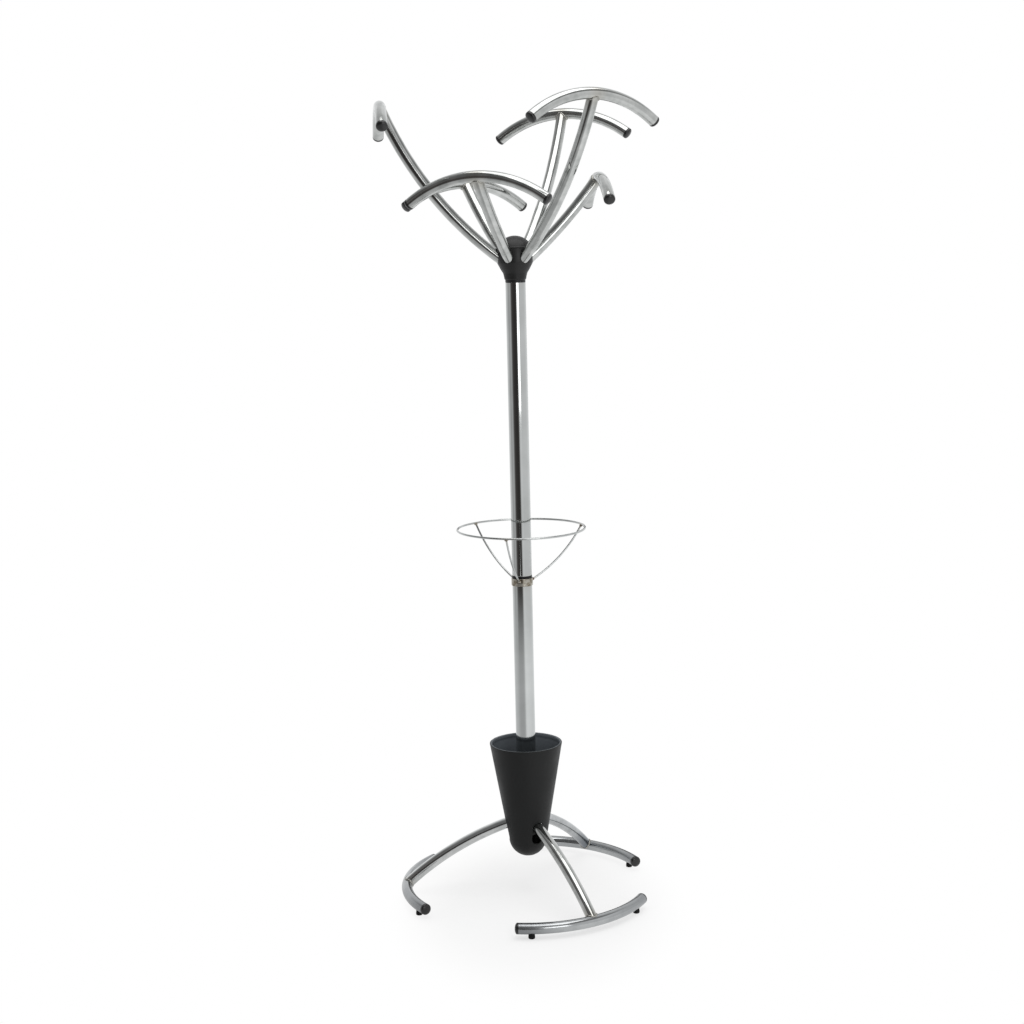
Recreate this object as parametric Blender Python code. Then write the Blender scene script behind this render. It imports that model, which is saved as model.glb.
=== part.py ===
"""Standing coat rack: three curved legs, a two-part mast, a drip cup, an umbrella ring and six curved arms.

Blender 4.5, metres, +Z up. The origin is on the floor, on the mast's axis.
"""

import math
from collections import namedtuple

import bmesh
import bpy
from mathutils import Matrix, Vector

GAP = 0.0003  # clearance between pieces that touch
SLIP = 0.0004  # radial clearance of a piece that turns on the spigot

MAST_RADIUS = 0.0210
MAST_WALL = 0.0015
LOWER_MAST_LENGTH = 0.500
UPPER_MAST_LENGTH = 0.620
SPIGOT_WALL = 0.0020
SPIGOT_REACH = 0.080  # how far the spigot goes into each half of the mast
BUSH_HEIGHT = 0.005
BUSH_PROUD = 0.0004  # how far the bush stands out from the mast

TUBE_RADIUS = 0.01175  # legs, arms and crossbars are bent from one size of tube
TUBE_WALL = 0.0015
BAR_BEND_RADIUS = 0.257
BAR_HALF_ANGLE = 35.6
SADDLE_RELIEF = 0.004  # a coped tube stops this far short of the crossbar's middle

CAP_LENGTH = 0.0085
CAP_EDGE = 0.0035  # straight part of the cap, before its dome
CAP_SHANK_LENGTH = 0.010
CAP_SHANK_PLAY = 0.0016

LEG_COUNT = 3
LEG_FIRST_TURN = 60.0
LEG_BEND_RADIUS = 0.650
LEG_START_SLOPE = 17.1  # degrees below level, at the leg hub
LEG_END_SLOPE = 42.9
LEG_WEB = 0.0036  # metal left between the inner ends of two legs
GLIDE_RADIUS = 0.0070
GLIDE_HEIGHT = 0.0092
GLIDE_CHAMFER = 0.0010
GLIDE_INSET = 0.026  # along the foot bar, from its end

LEG_HUB_RADIUS = 0.030
LEG_HUB_FLOOR = 0.0173  # below the bores where the legs start
LEG_HUB_SEAT = 0.0054  # metal between the legs' bores and the foot of the mast
MAST_SEAT_DEPTH = 0.016

CUP_BALL_RADIUS = 0.041
CUP_RIM_RADIUS = 0.0785
CUP_HEIGHT = 0.2543
CUP_WALL = 0.0030
CUP_LIP_WIDTH = 0.0046
CUP_LIP_HEIGHT = 0.0050
CUP_DROP = 0.0831  # the cup's lowest point lies this far below the start of the legs
SLOT_SIDE_PLAY = 0.00125
SLOT_LOW = 0.0355  # lower end of the leg slots, above the cup's lowest point

COLLAR_PROUD = 0.0020  # how far the collar stands out from the mast
COLLAR_HEIGHT = 0.016
RING_RADIUS = 0.1359
RING_WIRE_RADIUS = 0.0022
RING_RISE = 0.1220  # above the collar's lower face
STRUT_COUNT = 3
STRUT_FIRST_TURN = 17.4
STRUT_WIRE_RADIUS = 0.0021
STRUT_ROOT_RISE = 0.0115  # above the collar's lower face
STRUT_END_SLOPE = 60.0

ARM_COUNT = 6
ARM_FIRST_TURN = 6.5
ARM_WEB = 0.0014  # left between the inner ends of two arms' sockets
ARM_START_RISE = 0.0460  # above the hub's lower face
ARM_BENDS = {
    "low": {"radius": 1.0626, "start": 41.5, "end": 53.6, "steps": 4},
    "high": {"radius": 0.7500, "start": 36.6, "end": 67.5, "steps": 8},
}

HUB_RADIUS = 0.0378
HUB_HEIGHT = 0.0705
HUB_SPIGOT_LENGTH = 0.045
HUB_BORE_RADIUS = 0.0143
HUB_BORE_DEPTH = 0.034
HUB_NECK = ((0.0001, 0.0), (0.0001, 0.0055), (0.0018, 0.0070), (0.0023, 0.0110), (0.0042, 0.0190))
HUB_FLARE = ((0.583, 0.0280), (0.964, 0.0400))  # shares of the way from the mast to the hub's side
HUB_CAP_RISE = 0.0255
HUB_CAP_WALL = 0.0025
HUB_CAP_PLUG_LENGTH = 0.012

TUBE_SIDES = 10
TURNED_SIDES = 20
WIRE_SIDES = 8
BAR_STEPS = 10
LEG_STEPS = 7
STRUT_STEPS = 8
RING_STEPS = 36

FINISHES = {
    "mast_chrome": ((0.80, 0.80, 0.79), 0.07, 1.0),
    "tube_chrome": ((0.78, 0.78, 0.77), 0.10, 1.0),
    "wire_chrome": ((0.66, 0.66, 0.65), 0.16, 1.0),
    "worn_plating": ((0.42, 0.38, 0.29), 0.38, 1.0),
    "zinc_steel": ((0.52, 0.53, 0.54), 0.35, 1.0),
    "cast_iron": ((0.06, 0.06, 0.06), 0.60, 1.0),
    "hub_plastic": ((0.020, 0.020, 0.021), 0.42, 0.0),
    "cap_plastic": ((0.018, 0.018, 0.019), 0.35, 0.0),
    "cup_plastic": ((0.018, 0.020, 0.021), 0.50, 0.0),
    "bush_plastic": ((0.015, 0.015, 0.016), 0.45, 0.0),
    "glide_rubber": ((0.012, 0.012, 0.012), 0.75, 0.0),
}

X = Vector((1, 0, 0))
Y = Vector((0, 1, 0))
Z = Vector((0, 0, 1))

# A round bend: its points are centre + radius * (cos(angle) * first + sin(angle) * second).
Arc = namedtuple("Arc", "centre first second radius start end")


def clear_scene():
    for thing in list(bpy.data.objects):
        bpy.data.objects.remove(thing, do_unlink=True)


def make_finish(name):
    colour, roughness, metallic = FINISHES[name]
    finish = bpy.data.materials.new(name)
    finish.use_nodes = True
    shader = finish.node_tree.nodes["Principled BSDF"]
    shader.inputs["Base Color"].default_value = (*colour, 1.0)
    shader.inputs["Roughness"].default_value = roughness
    shader.inputs["Metallic"].default_value = metallic
    return finish


def out_of(arc, angle):
    """The direction from the bend's centre to its point at this angle."""
    return math.cos(angle) * arc.first + math.sin(angle) * arc.second


def along(arc, angle):
    return math.cos(angle) * arc.second - math.sin(angle) * arc.first


def point_on(arc, angle):
    return arc.centre + arc.radius * out_of(arc, angle)


def rising_arc(point, radius, start, end):
    """A bend in the XZ plane that starts at point and climbs ever more steeply."""
    centre = point - radius * (math.sin(start) * X - math.cos(start) * Z)
    return Arc(centre, -Z, X, radius, start, end)


def falling_arc(point, radius, start, end):
    """A bend in the XZ plane that starts at point and falls ever more steeply."""
    centre = point - radius * (math.sin(start) * X + math.cos(start) * Z)
    return Arc(centre, Z, X, radius, start, end)


def bar_arc(middle, outwards):
    """A crossbar's bend through its middle point, with both ends curving away from outwards."""
    half = math.radians(BAR_HALF_ANGLE)
    return Arc(middle - BAR_BEND_RADIUS * outwards, outwards, Y, BAR_BEND_RADIUS, -half, half)


def longer(arc, extra):
    """The same bend, run on by extra metres at both ends."""
    turn = extra / arc.radius
    return arc._replace(start=arc.start - turn, end=arc.end + turn)


def shorter_end(arc, less):
    return arc._replace(end=arc.end - less / arc.radius)


def mesh_from(shape, name):
    bmesh.ops.recalc_face_normals(shape, faces=shape.faces)
    mesh = bpy.data.meshes.new(name)
    shape.to_mesh(mesh)
    shape.free()
    mesh.shade_smooth()
    mesh.set_sharp_from_angle(angle=math.radians(40))
    return mesh


def bent_rod(arc, radius, sides, steps, name, closed=True):
    """A round bar swept along a bend. With closed=False, its two end faces are left out."""
    shape = bmesh.new()
    outwards = out_of(arc, arc.start)
    across = arc.first.cross(arc.second)
    basis = Matrix((across, outwards, along(arc, arc.start))).transposed().to_4x4()
    place = Matrix.Translation(point_on(arc, arc.start)) @ basis
    ring = bmesh.ops.create_circle(shape, segments=sides, radius=radius, matrix=place)
    edges = list({edge for vertex in ring["verts"] for edge in vertex.link_edges})
    bmesh.ops.spin(
        shape,
        geom=edges,
        cent=arc.centre,
        axis=across,
        angle=arc.end - arc.start,
        steps=steps,
    )
    open_edges = [edge for edge in shape.edges if edge.is_boundary]
    ends = bmesh.ops.holes_fill(shape, edges=open_edges, sides=0)["faces"]
    bmesh.ops.recalc_face_normals(shape, faces=shape.faces)
    if closed:
        return mesh_from(shape, name)
    bmesh.ops.delete(shape, geom=ends, context="FACES_ONLY")
    mesh = bpy.data.meshes.new(name)
    shape.to_mesh(mesh)
    shape.free()
    mesh.shade_smooth()
    return mesh


def turned(profile, sides, name):
    """A profile of (radius, height) points, turned about the Z axis."""
    shape = bmesh.new()
    vertices = [shape.verts.new((radius, 0.0, height)) for radius, height in profile]
    pairs = zip(vertices, vertices[1:] + vertices[:1])
    edges = [shape.edges.new(pair) for pair in pairs if pair[0].co.x + pair[1].co.x > 0]
    bmesh.ops.spin(
        shape,
        geom=vertices + edges,
        cent=(0, 0, 0),
        axis=Z,
        angle=math.tau,
        steps=sides,
        use_merge=True,
    )
    bmesh.ops.remove_doubles(shape, verts=shape.verts, dist=1e-6)
    return mesh_from(shape, name)


def pipe(inner, outer, low, high, sides, name):
    return turned([(inner, low), (outer, low), (outer, high), (inner, high)], sides, name)


def turn_about_z(degrees):
    return Matrix.Rotation(math.radians(degrees), 4, "Z")


def place_object(name, mesh, parent, place=None):
    thing = bpy.data.objects.new(name, mesh)
    bpy.context.scene.collection.objects.link(thing)
    thing.parent = parent
    thing.matrix_local = place or Matrix.Identity(4)
    return thing


def add_piece(name, mesh, finish, parent, place=None):
    if not mesh.materials:
        mesh.materials.append(finish)
    return place_object(name, mesh, parent, place)


def add_cutter(name, mesh, parent, place=None):
    cutter = place_object(name, mesh, parent, place)
    cutter.hide_render = True
    cutter.display_type = "WIRE"
    return cutter


def cut(thing, cutter):
    modifier = thing.modifiers.new("cut_" + cutter.name, "BOOLEAN")
    modifier.operation = "DIFFERENCE"
    modifier.object = cutter


def hollow(thing, wall):
    modifier = thing.modifiers.new("tube_wall", "SOLIDIFY")
    modifier.thickness = wall
    modifier.offset = -1.0
    modifier.use_even_offset = True


def add_frame(name, height):
    frame = bpy.data.objects.new(name, None)
    bpy.context.scene.collection.objects.link(frame)
    frame.empty_display_size = 0.05
    frame.location = (0.0, 0.0, height)
    return frame


def cap_mesh():
    """The plug of a tube's end, along +Z, with the tube's cut end at height 0."""
    shank = TUBE_RADIUS - TUBE_WALL - CAP_SHANK_PLAY
    profile = [(0.0, -CAP_SHANK_LENGTH), (shank, -CAP_SHANK_LENGTH), (shank, GAP), (TUBE_RADIUS, GAP)]
    for angle in (0, 45, 90):
        height = CAP_EDGE + (CAP_LENGTH - CAP_EDGE) * math.sin(math.radians(angle))
        profile.append((TUBE_RADIUS * math.cos(math.radians(angle)), height))
    profile[-1] = (0.0, CAP_LENGTH)
    return turned(profile, TUBE_SIDES, "end_cap")


def add_bar(kind, number, arc, turn, parent, bar_finish, cap_finish, cap):
    """A crossbar with its two end caps, and the cutter that shapes what is welded to it."""
    bar_mesh = bent_rod(arc, TUBE_RADIUS, TUBE_SIDES, BAR_STEPS, kind, closed=False)
    bar = add_piece(f"{kind}_{number}", bar_mesh, bar_finish, parent, turn)
    hollow(bar, TUBE_WALL)
    for side, angle, sense in (("a", arc.start, -1), ("b", arc.end, 1)):
        facing = (sense * along(arc, angle)).to_track_quat("Z", "Y").to_matrix().to_4x4()
        place = turn @ Matrix.Translation(point_on(arc, angle)) @ facing
        add_piece(f"{kind}_cap_{number}{side}", cap, cap_finish, parent, place)
    rod = bent_rod(longer(arc, GAP), TUBE_RADIUS + GAP, TUBE_SIDES, BAR_STEPS, kind + "_room")
    return add_cutter(f"{kind}_room_{number}", rod, parent, turn)


def start_radius(count, web):
    """How far from the mast's axis tubes have to start, when count of them stand around it."""
    return (TUBE_RADIUS + GAP + web / 2) / math.sin(math.pi / count)


def leg_arc():
    """The bend of a leg. Its end is on the foot bar's axis, at the height that the glides give."""
    start = math.radians(LEG_START_SLOPE)
    end = math.radians(LEG_END_SLOPE)
    drop = LEG_BEND_RADIUS * (math.cos(start) - math.cos(end))
    height = GLIDE_HEIGHT + TUBE_RADIUS + drop
    inner = start_radius(LEG_COUNT, LEG_WEB)
    return falling_arc(inner * X + height * Z, LEG_BEND_RADIUS, start, end)


def glide_mesh():
    """A round rubber foot. Its top stays below the widest part of the saddle that the foot bar cuts in it."""
    saddle = math.sqrt((TUBE_RADIUS + GAP) ** 2 - GLIDE_RADIUS**2)
    top = GLIDE_HEIGHT + TUBE_RADIUS - saddle
    profile = [
        (0.0, 0.0),
        (GLIDE_RADIUS - GLIDE_CHAMFER, 0.0),
        (GLIDE_RADIUS, GLIDE_CHAMFER),
        (GLIDE_RADIUS, top),
        (0.0, top),
    ]
    return turned(profile, TUBE_SIDES, "glide")


def add_legs(base, finishes, cap):
    """The legs with their foot bars and glides. It returns the cutters that make room for the legs."""
    arc = leg_arc()
    foot = bar_arc(point_on(arc, arc.end), X)
    leg_mesh = bent_rod(
        shorter_end(arc, SADDLE_RELIEF), TUBE_RADIUS, TUBE_SIDES, LEG_STEPS, "leg", closed=False
    )
    room_mesh = bent_rod(longer(arc, GAP), TUBE_RADIUS + GAP, TUBE_SIDES, LEG_STEPS, "leg_room")
    glide = glide_mesh()
    rooms = []
    for number in range(1, LEG_COUNT + 1):
        turn = turn_about_z(LEG_FIRST_TURN + 360 / LEG_COUNT * (number - 1))
        bar_room = add_bar(
            "foot_bar", number, foot, turn, base, finishes["tube_chrome"], finishes["cap_plastic"], cap
        )
        leg = add_piece(f"leg_{number}", leg_mesh, finishes["tube_chrome"], base, turn)
        hollow(leg, TUBE_WALL)
        cut(leg, bar_room)
        inset = GLIDE_INSET / foot.radius
        for side, angle in (("a", foot.start + inset), ("b", foot.end - inset)):
            spot = point_on(foot, angle)
            place = turn @ Matrix.Translation((spot.x, spot.y, 0.0))
            pad = add_piece(f"glide_{number}{side}", glide, finishes["glide_rubber"], base, place)
            cut(pad, bar_room)
        rooms.append(add_cutter(f"leg_room_{number}", room_mesh, base, turn))
    return rooms


def add_leg_hub(base, finishes, leg_rooms):
    """The block inside the cup that holds the three legs and the foot of the mast."""
    height = point_on(leg_arc(), leg_arc().start).z
    leg_room = (TUBE_RADIUS + GAP) / math.cos(math.radians(LEG_START_SLOPE))
    low = -leg_room - LEG_HUB_FLOOR
    seat = leg_room + LEG_HUB_SEAT
    high = seat + MAST_SEAT_DEPTH
    bore = MAST_RADIUS + GAP
    profile = [(0.0, low), (LEG_HUB_RADIUS, low), (LEG_HUB_RADIUS, high)]
    profile += [(bore, high), (bore, seat), (0.0, seat)]
    mesh = turned(profile, TURNED_SIDES, "leg_hub")
    hub = add_piece("leg_hub", mesh, finishes["cast_iron"], base, Matrix.Translation(height * Z))
    for room in leg_rooms:
        cut(hub, room)
    return height + seat + GAP


def cup_slope():
    """The angle between the cup's straight side and the upright."""
    rise = CUP_HEIGHT - CUP_BALL_RADIUS
    distance = math.hypot(CUP_RIM_RADIUS, rise)
    return math.atan2(CUP_RIM_RADIUS, rise) - math.asin(CUP_BALL_RADIUS / distance)


def cup_radius_at(height, inset=0.0):
    """The radius of the cup's straight side, or of a surface that lies inset metres inside it."""
    return CUP_RIM_RADIUS - (CUP_HEIGHT - height) * math.tan(cup_slope()) - inset / math.cos(cup_slope())


def cup_mesh():
    slope = cup_slope()
    inner_ball = CUP_BALL_RADIUS - CUP_WALL
    lip_low = CUP_HEIGHT - CUP_LIP_HEIGHT
    profile = []
    for step in range(6):
        angle = (math.pi / 2 - slope) * step / 5
        profile.append((CUP_BALL_RADIUS * math.sin(angle), CUP_BALL_RADIUS * (1 - math.cos(angle))))
    profile.append((CUP_RIM_RADIUS, CUP_HEIGHT))
    profile.append((CUP_RIM_RADIUS - CUP_LIP_WIDTH, CUP_HEIGHT))
    profile.append((cup_radius_at(lip_low, CUP_LIP_WIDTH), lip_low))
    profile.append((cup_radius_at(lip_low - CUP_LIP_WIDTH, CUP_WALL), lip_low - CUP_LIP_WIDTH))
    for step in range(5, -1, -1):
        angle = (math.pi / 2 - slope) * step / 5
        profile.append((inner_ball * math.sin(angle), CUP_BALL_RADIUS - inner_ball * math.cos(angle)))
    return turned(profile, TURNED_SIDES, "drip_cup")


def slot_mesh(low, high, inner, outer):
    """An upright slot with round ends, cut outwards along +X."""
    half = TUBE_RADIUS + SLOT_SIDE_PLAY
    shape = bmesh.new()
    outline = []
    for middle, first in ((high - half, 0), (low + half, 180)):
        for step in range(9):
            angle = math.radians(first + 22.5 * step)
            outline.append((inner, half * math.cos(angle), middle + half * math.sin(angle)))
    face = shape.faces.new([shape.verts.new(corner) for corner in outline])
    sides = bmesh.ops.extrude_face_region(shape, geom=[face])["geom"]
    moved = [item for item in sides if isinstance(item, bmesh.types.BMVert)]
    bmesh.ops.translate(shape, verts=moved, vec=(outer - inner) * X)
    return mesh_from(shape, "leg_slot")


def add_cup(base, finishes):
    """The drip cup. It hangs on the legs by the tops of its slots."""
    arc = leg_arc()
    low = point_on(arc, arc.start).z - CUP_DROP
    steepness = math.asin((cup_radius_at(CUP_DROP, CUP_WALL) - arc.centre.x) / arc.radius)
    leg_top = point_on(arc, steepness).z + TUBE_RADIUS / math.cos(steepness)
    inner = cup_radius_at(SLOT_LOW, 2 * CUP_WALL)
    slot = slot_mesh(low + SLOT_LOW, leg_top + GAP, inner, cup_radius_at(CUP_HEIGHT))
    cup = add_piece(
        "drip_cup", cup_mesh(), finishes["cup_plastic"], base, Matrix.Translation(low * Z)
    )
    for number in range(1, LEG_COUNT + 1):
        turn = turn_about_z(LEG_FIRST_TURN + 360 / LEG_COUNT * (number - 1))
        cut(cup, add_cutter(f"leg_slot_{number}", slot, base, turn))


def add_lower_mast(base, finishes, foot):
    """The lower half of the mast, with the spigot that the collar and the head turn on."""
    top = foot + LOWER_MAST_LENGTH
    inside = MAST_RADIUS - MAST_WALL
    spigot = inside - GAP
    head = top + COLLAR_HEIGHT + BUSH_HEIGHT + 3 * GAP
    bush_low = top + COLLAR_HEIGHT + 2 * GAP
    bush_high = bush_low + BUSH_HEIGHT
    pieces = (
        ("lower_mast", inside, MAST_RADIUS, foot, top, "mast_chrome"),
        ("mast_spigot", spigot - SPIGOT_WALL, spigot, top - SPIGOT_REACH, head + SPIGOT_REACH, "zinc_steel"),
        ("mast_bush", spigot + GAP, MAST_RADIUS + BUSH_PROUD, bush_low, bush_high, "bush_plastic"),
    )
    for name, inner, outer, low, high, finish in pieces:
        add_piece(name, pipe(inner, outer, low, high, TURNED_SIDES, name), finishes[finish], base)
    return top + GAP, head


def strut_arc():
    """The bend of a ring strut, from the collar's side to just under the ring's wire."""
    end = math.radians(STRUT_END_SLOPE)
    side = MAST_RADIUS + COLLAR_PROUD + GAP
    ring = RING_RADIUS * X + RING_RISE * Z
    tip = ring - (RING_WIRE_RADIUS + 2 * GAP) * (math.cos(end) * X + math.sin(end) * Z)
    start = 0.0
    for _ in range(3):  # the slope at the collar sets how far the wire's end stands off it
        root = (side + STRUT_WIRE_RADIUS * math.sin(start)) * X + STRUT_ROOT_RISE * Z
        chord = tip - root
        half_turn = end - math.atan2(chord.z, chord.x)
        start = end - 2 * half_turn
    return rising_arc(root, chord.length / (2 * math.sin(half_turn)), start, end)


def add_umbrella_ring(frame, finishes):
    """The collar on the mast's spigot, and the ring that its three struts carry."""
    bore = MAST_RADIUS - MAST_WALL - GAP + SLIP
    outer = MAST_RADIUS + COLLAR_PROUD
    collar = pipe(bore, outer, 0.0, COLLAR_HEIGHT, TURNED_SIDES, "ring_collar")
    add_piece("ring_collar", collar, finishes["worn_plating"], frame)
    strut = bent_rod(strut_arc(), STRUT_WIRE_RADIUS, WIRE_SIDES, STRUT_STEPS, "ring_strut")
    for number in range(1, STRUT_COUNT + 1):
        turn = turn_about_z(STRUT_FIRST_TURN + 360 / STRUT_COUNT * (number - 1))
        add_piece(f"ring_strut_{number}", strut, finishes["wire_chrome"], frame, turn)
    wire = []
    for step in range(WIRE_SIDES):
        angle = math.tau * step / WIRE_SIDES
        radius = RING_RADIUS + RING_WIRE_RADIUS * math.cos(angle)
        wire.append((radius, RING_RISE + RING_WIRE_RADIUS * math.sin(angle)))
    ring = turned(wire, RING_STEPS, "umbrella_ring")
    add_piece("umbrella_ring", ring, finishes["wire_chrome"], frame)


def add_upper_mast(head, finishes):
    inside = MAST_RADIUS - MAST_WALL
    mesh = pipe(inside, MAST_RADIUS, 0.0, UPPER_MAST_LENGTH, TURNED_SIDES, "upper_mast")
    add_piece("upper_mast", mesh, finishes["mast_chrome"], head)


def add_arms(head, finishes, cap, hub_base):
    """The arms with their crossbars, high and low in turn. It returns the cutters that make room for them."""
    rooms = []
    start_point = start_radius(ARM_COUNT, ARM_WEB) * X + (hub_base + ARM_START_RISE) * Z
    for index in range(ARM_COUNT):
        kind = ("low", "high")[index % 2]
        number = index // 2 + 1
        bend = ARM_BENDS[kind]
        turn = turn_about_z(ARM_FIRST_TURN + 360 / ARM_COUNT * index)
        start = math.radians(bend["start"])
        arc = rising_arc(start_point, bend["radius"], start, math.radians(bend["end"]))
        top = bar_arc(point_on(arc, arc.end), Z)
        bar_room = add_bar(
            f"{kind}_bar", number, top, turn, head, finishes["tube_chrome"], finishes["cap_plastic"], cap
        )
        mesh = bent_rod(
            shorter_end(arc, SADDLE_RELIEF), TUBE_RADIUS, TUBE_SIDES, bend["steps"], f"{kind}_arm", False
        )
        arm = add_piece(f"{kind}_arm_{number}", mesh, finishes["tube_chrome"], head, turn)
        hollow(arm, TUBE_WALL)
        cut(arm, bar_room)
        room = bent_rod(longer(arc, GAP), TUBE_RADIUS + GAP, TUBE_SIDES, bend["steps"], f"{kind}_arm_room")
        rooms.append(add_cutter(f"{kind}_arm_room_{number}", room, head, turn))
    return rooms


def add_arm_hub(head, finishes, arm_rooms, hub_base):
    """The moulded hub that plugs into the mast and takes the arms, and the domed cap that plugs into it."""
    inside = MAST_RADIUS - MAST_WALL
    profile = [(0.0, -HUB_SPIGOT_LENGTH), (inside - GAP, -HUB_SPIGOT_LENGTH), (inside - GAP, 0.0)]
    profile += [(MAST_RADIUS + proud, height) for proud, height in HUB_NECK]
    spread = HUB_RADIUS - MAST_RADIUS
    profile += [(MAST_RADIUS + share * spread, height) for share, height in HUB_FLARE]
    profile += [(HUB_RADIUS, HUB_FLARE[-1][1] + 0.004), (HUB_RADIUS, HUB_HEIGHT)]
    profile += [(HUB_BORE_RADIUS, HUB_HEIGHT), (HUB_BORE_RADIUS, HUB_HEIGHT - HUB_BORE_DEPTH)]
    profile += [(0.0, HUB_HEIGHT - HUB_BORE_DEPTH)]
    mesh = turned(profile, TURNED_SIDES, "arm_hub")
    hub = add_piece("arm_hub", mesh, finishes["hub_plastic"], head, Matrix.Translation(hub_base * Z))
    cap_place = Matrix.Translation((hub_base + HUB_HEIGHT + GAP) * Z)
    cap = add_piece("hub_cap", hub_cap_mesh(), finishes["hub_plastic"], head, cap_place)
    for room in arm_rooms:
        cut(hub, room)
        cut(cap, room)


def hub_cap_mesh():
    ball = (HUB_RADIUS**2 + HUB_CAP_RISE**2) / (2 * HUB_CAP_RISE)
    centre = HUB_CAP_RISE - ball
    inner = ball - HUB_CAP_WALL
    plug = HUB_BORE_RADIUS - GAP
    plug_inside = plug - HUB_CAP_WALL
    reach = math.asin(HUB_RADIUS / ball)
    profile = [(ball * math.sin(reach * s / 5), centre + ball * math.cos(reach * s / 5)) for s in range(6)]
    inner_edge = math.sqrt(inner**2 - centre**2)
    profile.append((inner_edge, 0.0))
    middle = (inner_edge + plug) / 2
    for radius in (middle, plug):
        profile.append((radius, centre + math.sqrt(inner**2 - radius**2)))
    profile += [(plug, -HUB_CAP_PLUG_LENGTH), (plug_inside, -HUB_CAP_PLUG_LENGTH)]
    profile.append((plug_inside, centre + math.sqrt(inner**2 - plug_inside**2)))
    profile.append((0.0, centre + inner))
    return turned(profile, TURNED_SIDES, "hub_cap")


def main():
    clear_scene()
    finishes = {name: make_finish(name) for name in FINISHES}
    cap = cap_mesh()
    base = add_frame("base_frame", 0.0)
    leg_rooms = add_legs(base, finishes, cap)
    mast_foot = add_leg_hub(base, finishes, leg_rooms)
    add_cup(base, finishes)
    ring_height, head_height = add_lower_mast(base, finishes, mast_foot)
    add_umbrella_ring(add_frame("ring_turn", ring_height), finishes)
    head = add_frame("head_turn", head_height)
    add_upper_mast(head, finishes)
    hub_base = UPPER_MAST_LENGTH + GAP
    arm_rooms = add_arms(head, finishes, cap, hub_base)
    add_arm_hub(head, finishes, arm_rooms, hub_base)
    bpy.context.view_layer.update()


main()
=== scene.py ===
import math

import bmesh
import bpy
from mathutils import Matrix, Vector


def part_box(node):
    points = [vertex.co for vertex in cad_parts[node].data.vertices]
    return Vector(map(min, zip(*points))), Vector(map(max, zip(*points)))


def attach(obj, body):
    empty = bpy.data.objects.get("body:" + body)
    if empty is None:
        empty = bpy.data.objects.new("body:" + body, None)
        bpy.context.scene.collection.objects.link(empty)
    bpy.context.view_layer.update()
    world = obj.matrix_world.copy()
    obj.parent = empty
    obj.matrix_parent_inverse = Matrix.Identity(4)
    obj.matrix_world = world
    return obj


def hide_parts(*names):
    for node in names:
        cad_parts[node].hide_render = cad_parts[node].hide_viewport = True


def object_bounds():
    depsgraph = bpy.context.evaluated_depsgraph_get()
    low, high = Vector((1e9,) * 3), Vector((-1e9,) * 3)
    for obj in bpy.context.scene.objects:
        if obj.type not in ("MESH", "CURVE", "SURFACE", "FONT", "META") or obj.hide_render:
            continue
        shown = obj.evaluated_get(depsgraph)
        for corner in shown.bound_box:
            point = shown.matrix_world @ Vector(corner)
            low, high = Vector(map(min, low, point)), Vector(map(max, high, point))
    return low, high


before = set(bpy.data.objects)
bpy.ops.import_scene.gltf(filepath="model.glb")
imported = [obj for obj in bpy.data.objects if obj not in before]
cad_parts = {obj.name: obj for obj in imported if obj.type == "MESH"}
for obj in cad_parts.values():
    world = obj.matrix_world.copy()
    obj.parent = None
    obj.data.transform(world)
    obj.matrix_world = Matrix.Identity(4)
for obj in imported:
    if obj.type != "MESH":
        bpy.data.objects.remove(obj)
cadLow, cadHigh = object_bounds()
scene = bpy.context.scene
axisX, axisY, axisZ = Vector((1, 0, 0)), Vector((0, 1, 0)), Vector((0, 0, 1))
hair = 1e-6  # closer than this is touching
cornerShare = 0.45  # the most of a side that one rounded corner takes up
cutAngle = math.radians(38)  # a cut edge sharper than this is rounded over
creaseAngle = math.radians(40)  # an edge sharper than this isn't shaded as smooth

# short names for the nodes used most
maths, vectorMaths, mapRange, mix = "ShaderNodeMath", "ShaderNodeVectorMath", "ShaderNodeMapRange", "ShaderNodeMix"
noise, bump, splitXYZ, joinXYZ = (
    "ShaderNodeTexNoise", "ShaderNodeBump", "ShaderNodeSeparateXYZ", "ShaderNodeCombineXYZ")
setPosition, curveCircle, curveToMesh, onPoints = (
    "GeometryNodeSetPosition", "GeometryNodeCurvePrimitiveCircle", "GeometryNodeCurveToMesh",
    "GeometryNodeInstanceOnPoints")


def linearColour(text):
    # an sRGB hex colour, turned to the linear values that sockets hold
    shares = [int(text[start : start + 2], 16) / 255 for start in (1, 3, 5)]
    return (*[s / 12.92 if s <= 0.04045 else ((s + 0.055) / 1.055) ** 2.4 for s in shares], 1.0)


def perMetre(millimetres):
    # a texture's scale, from the size of one of its grains
    return 1000 / millimetres


def setInputs(tree, node, inputs):
    # inputs holds a value, or the output that feeds it, for each socket in turn or by its name or number
    for name, value in inputs.items() if isinstance(inputs, dict) else enumerate(inputs):
        if isinstance(value, bpy.types.NodeSocket):
            tree.links.new(value, node.inputs[name])
        else:
            node.inputs[name].default_value = value


def addNode(tree, kind, inputs=(), output=0, **settings):
    # adds a node and hands back one of its outputs
    node = tree.nodes.new(kind)
    for name, value in settings.items():
        setattr(node, name, value)
    setInputs(tree, node, inputs)
    return node.outputs[output] if node.outputs else node


def newFinish(name, alongTube):
    # an empty finish, where its patterns lie, and how worn each point is, a share that also lays painted light on the
    # cup and painted shade on the foot bars and the first leg
    material = bpy.data.materials.new(name)
    material.use_nodes = True
    tree = material.node_tree
    if alongTube:
        place = addNode(tree, "ShaderNodeAttribute", output="Vector", attribute_name="straight")
    else:
        place = addNode(tree, "ShaderNodeTexCoord", output="Object")
    wear = addNode(tree, "ShaderNodeAttribute", output="Fac", attribute_name="wear")
    return material, tree, tree.nodes["Principled BSDF"], place, wear


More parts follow.
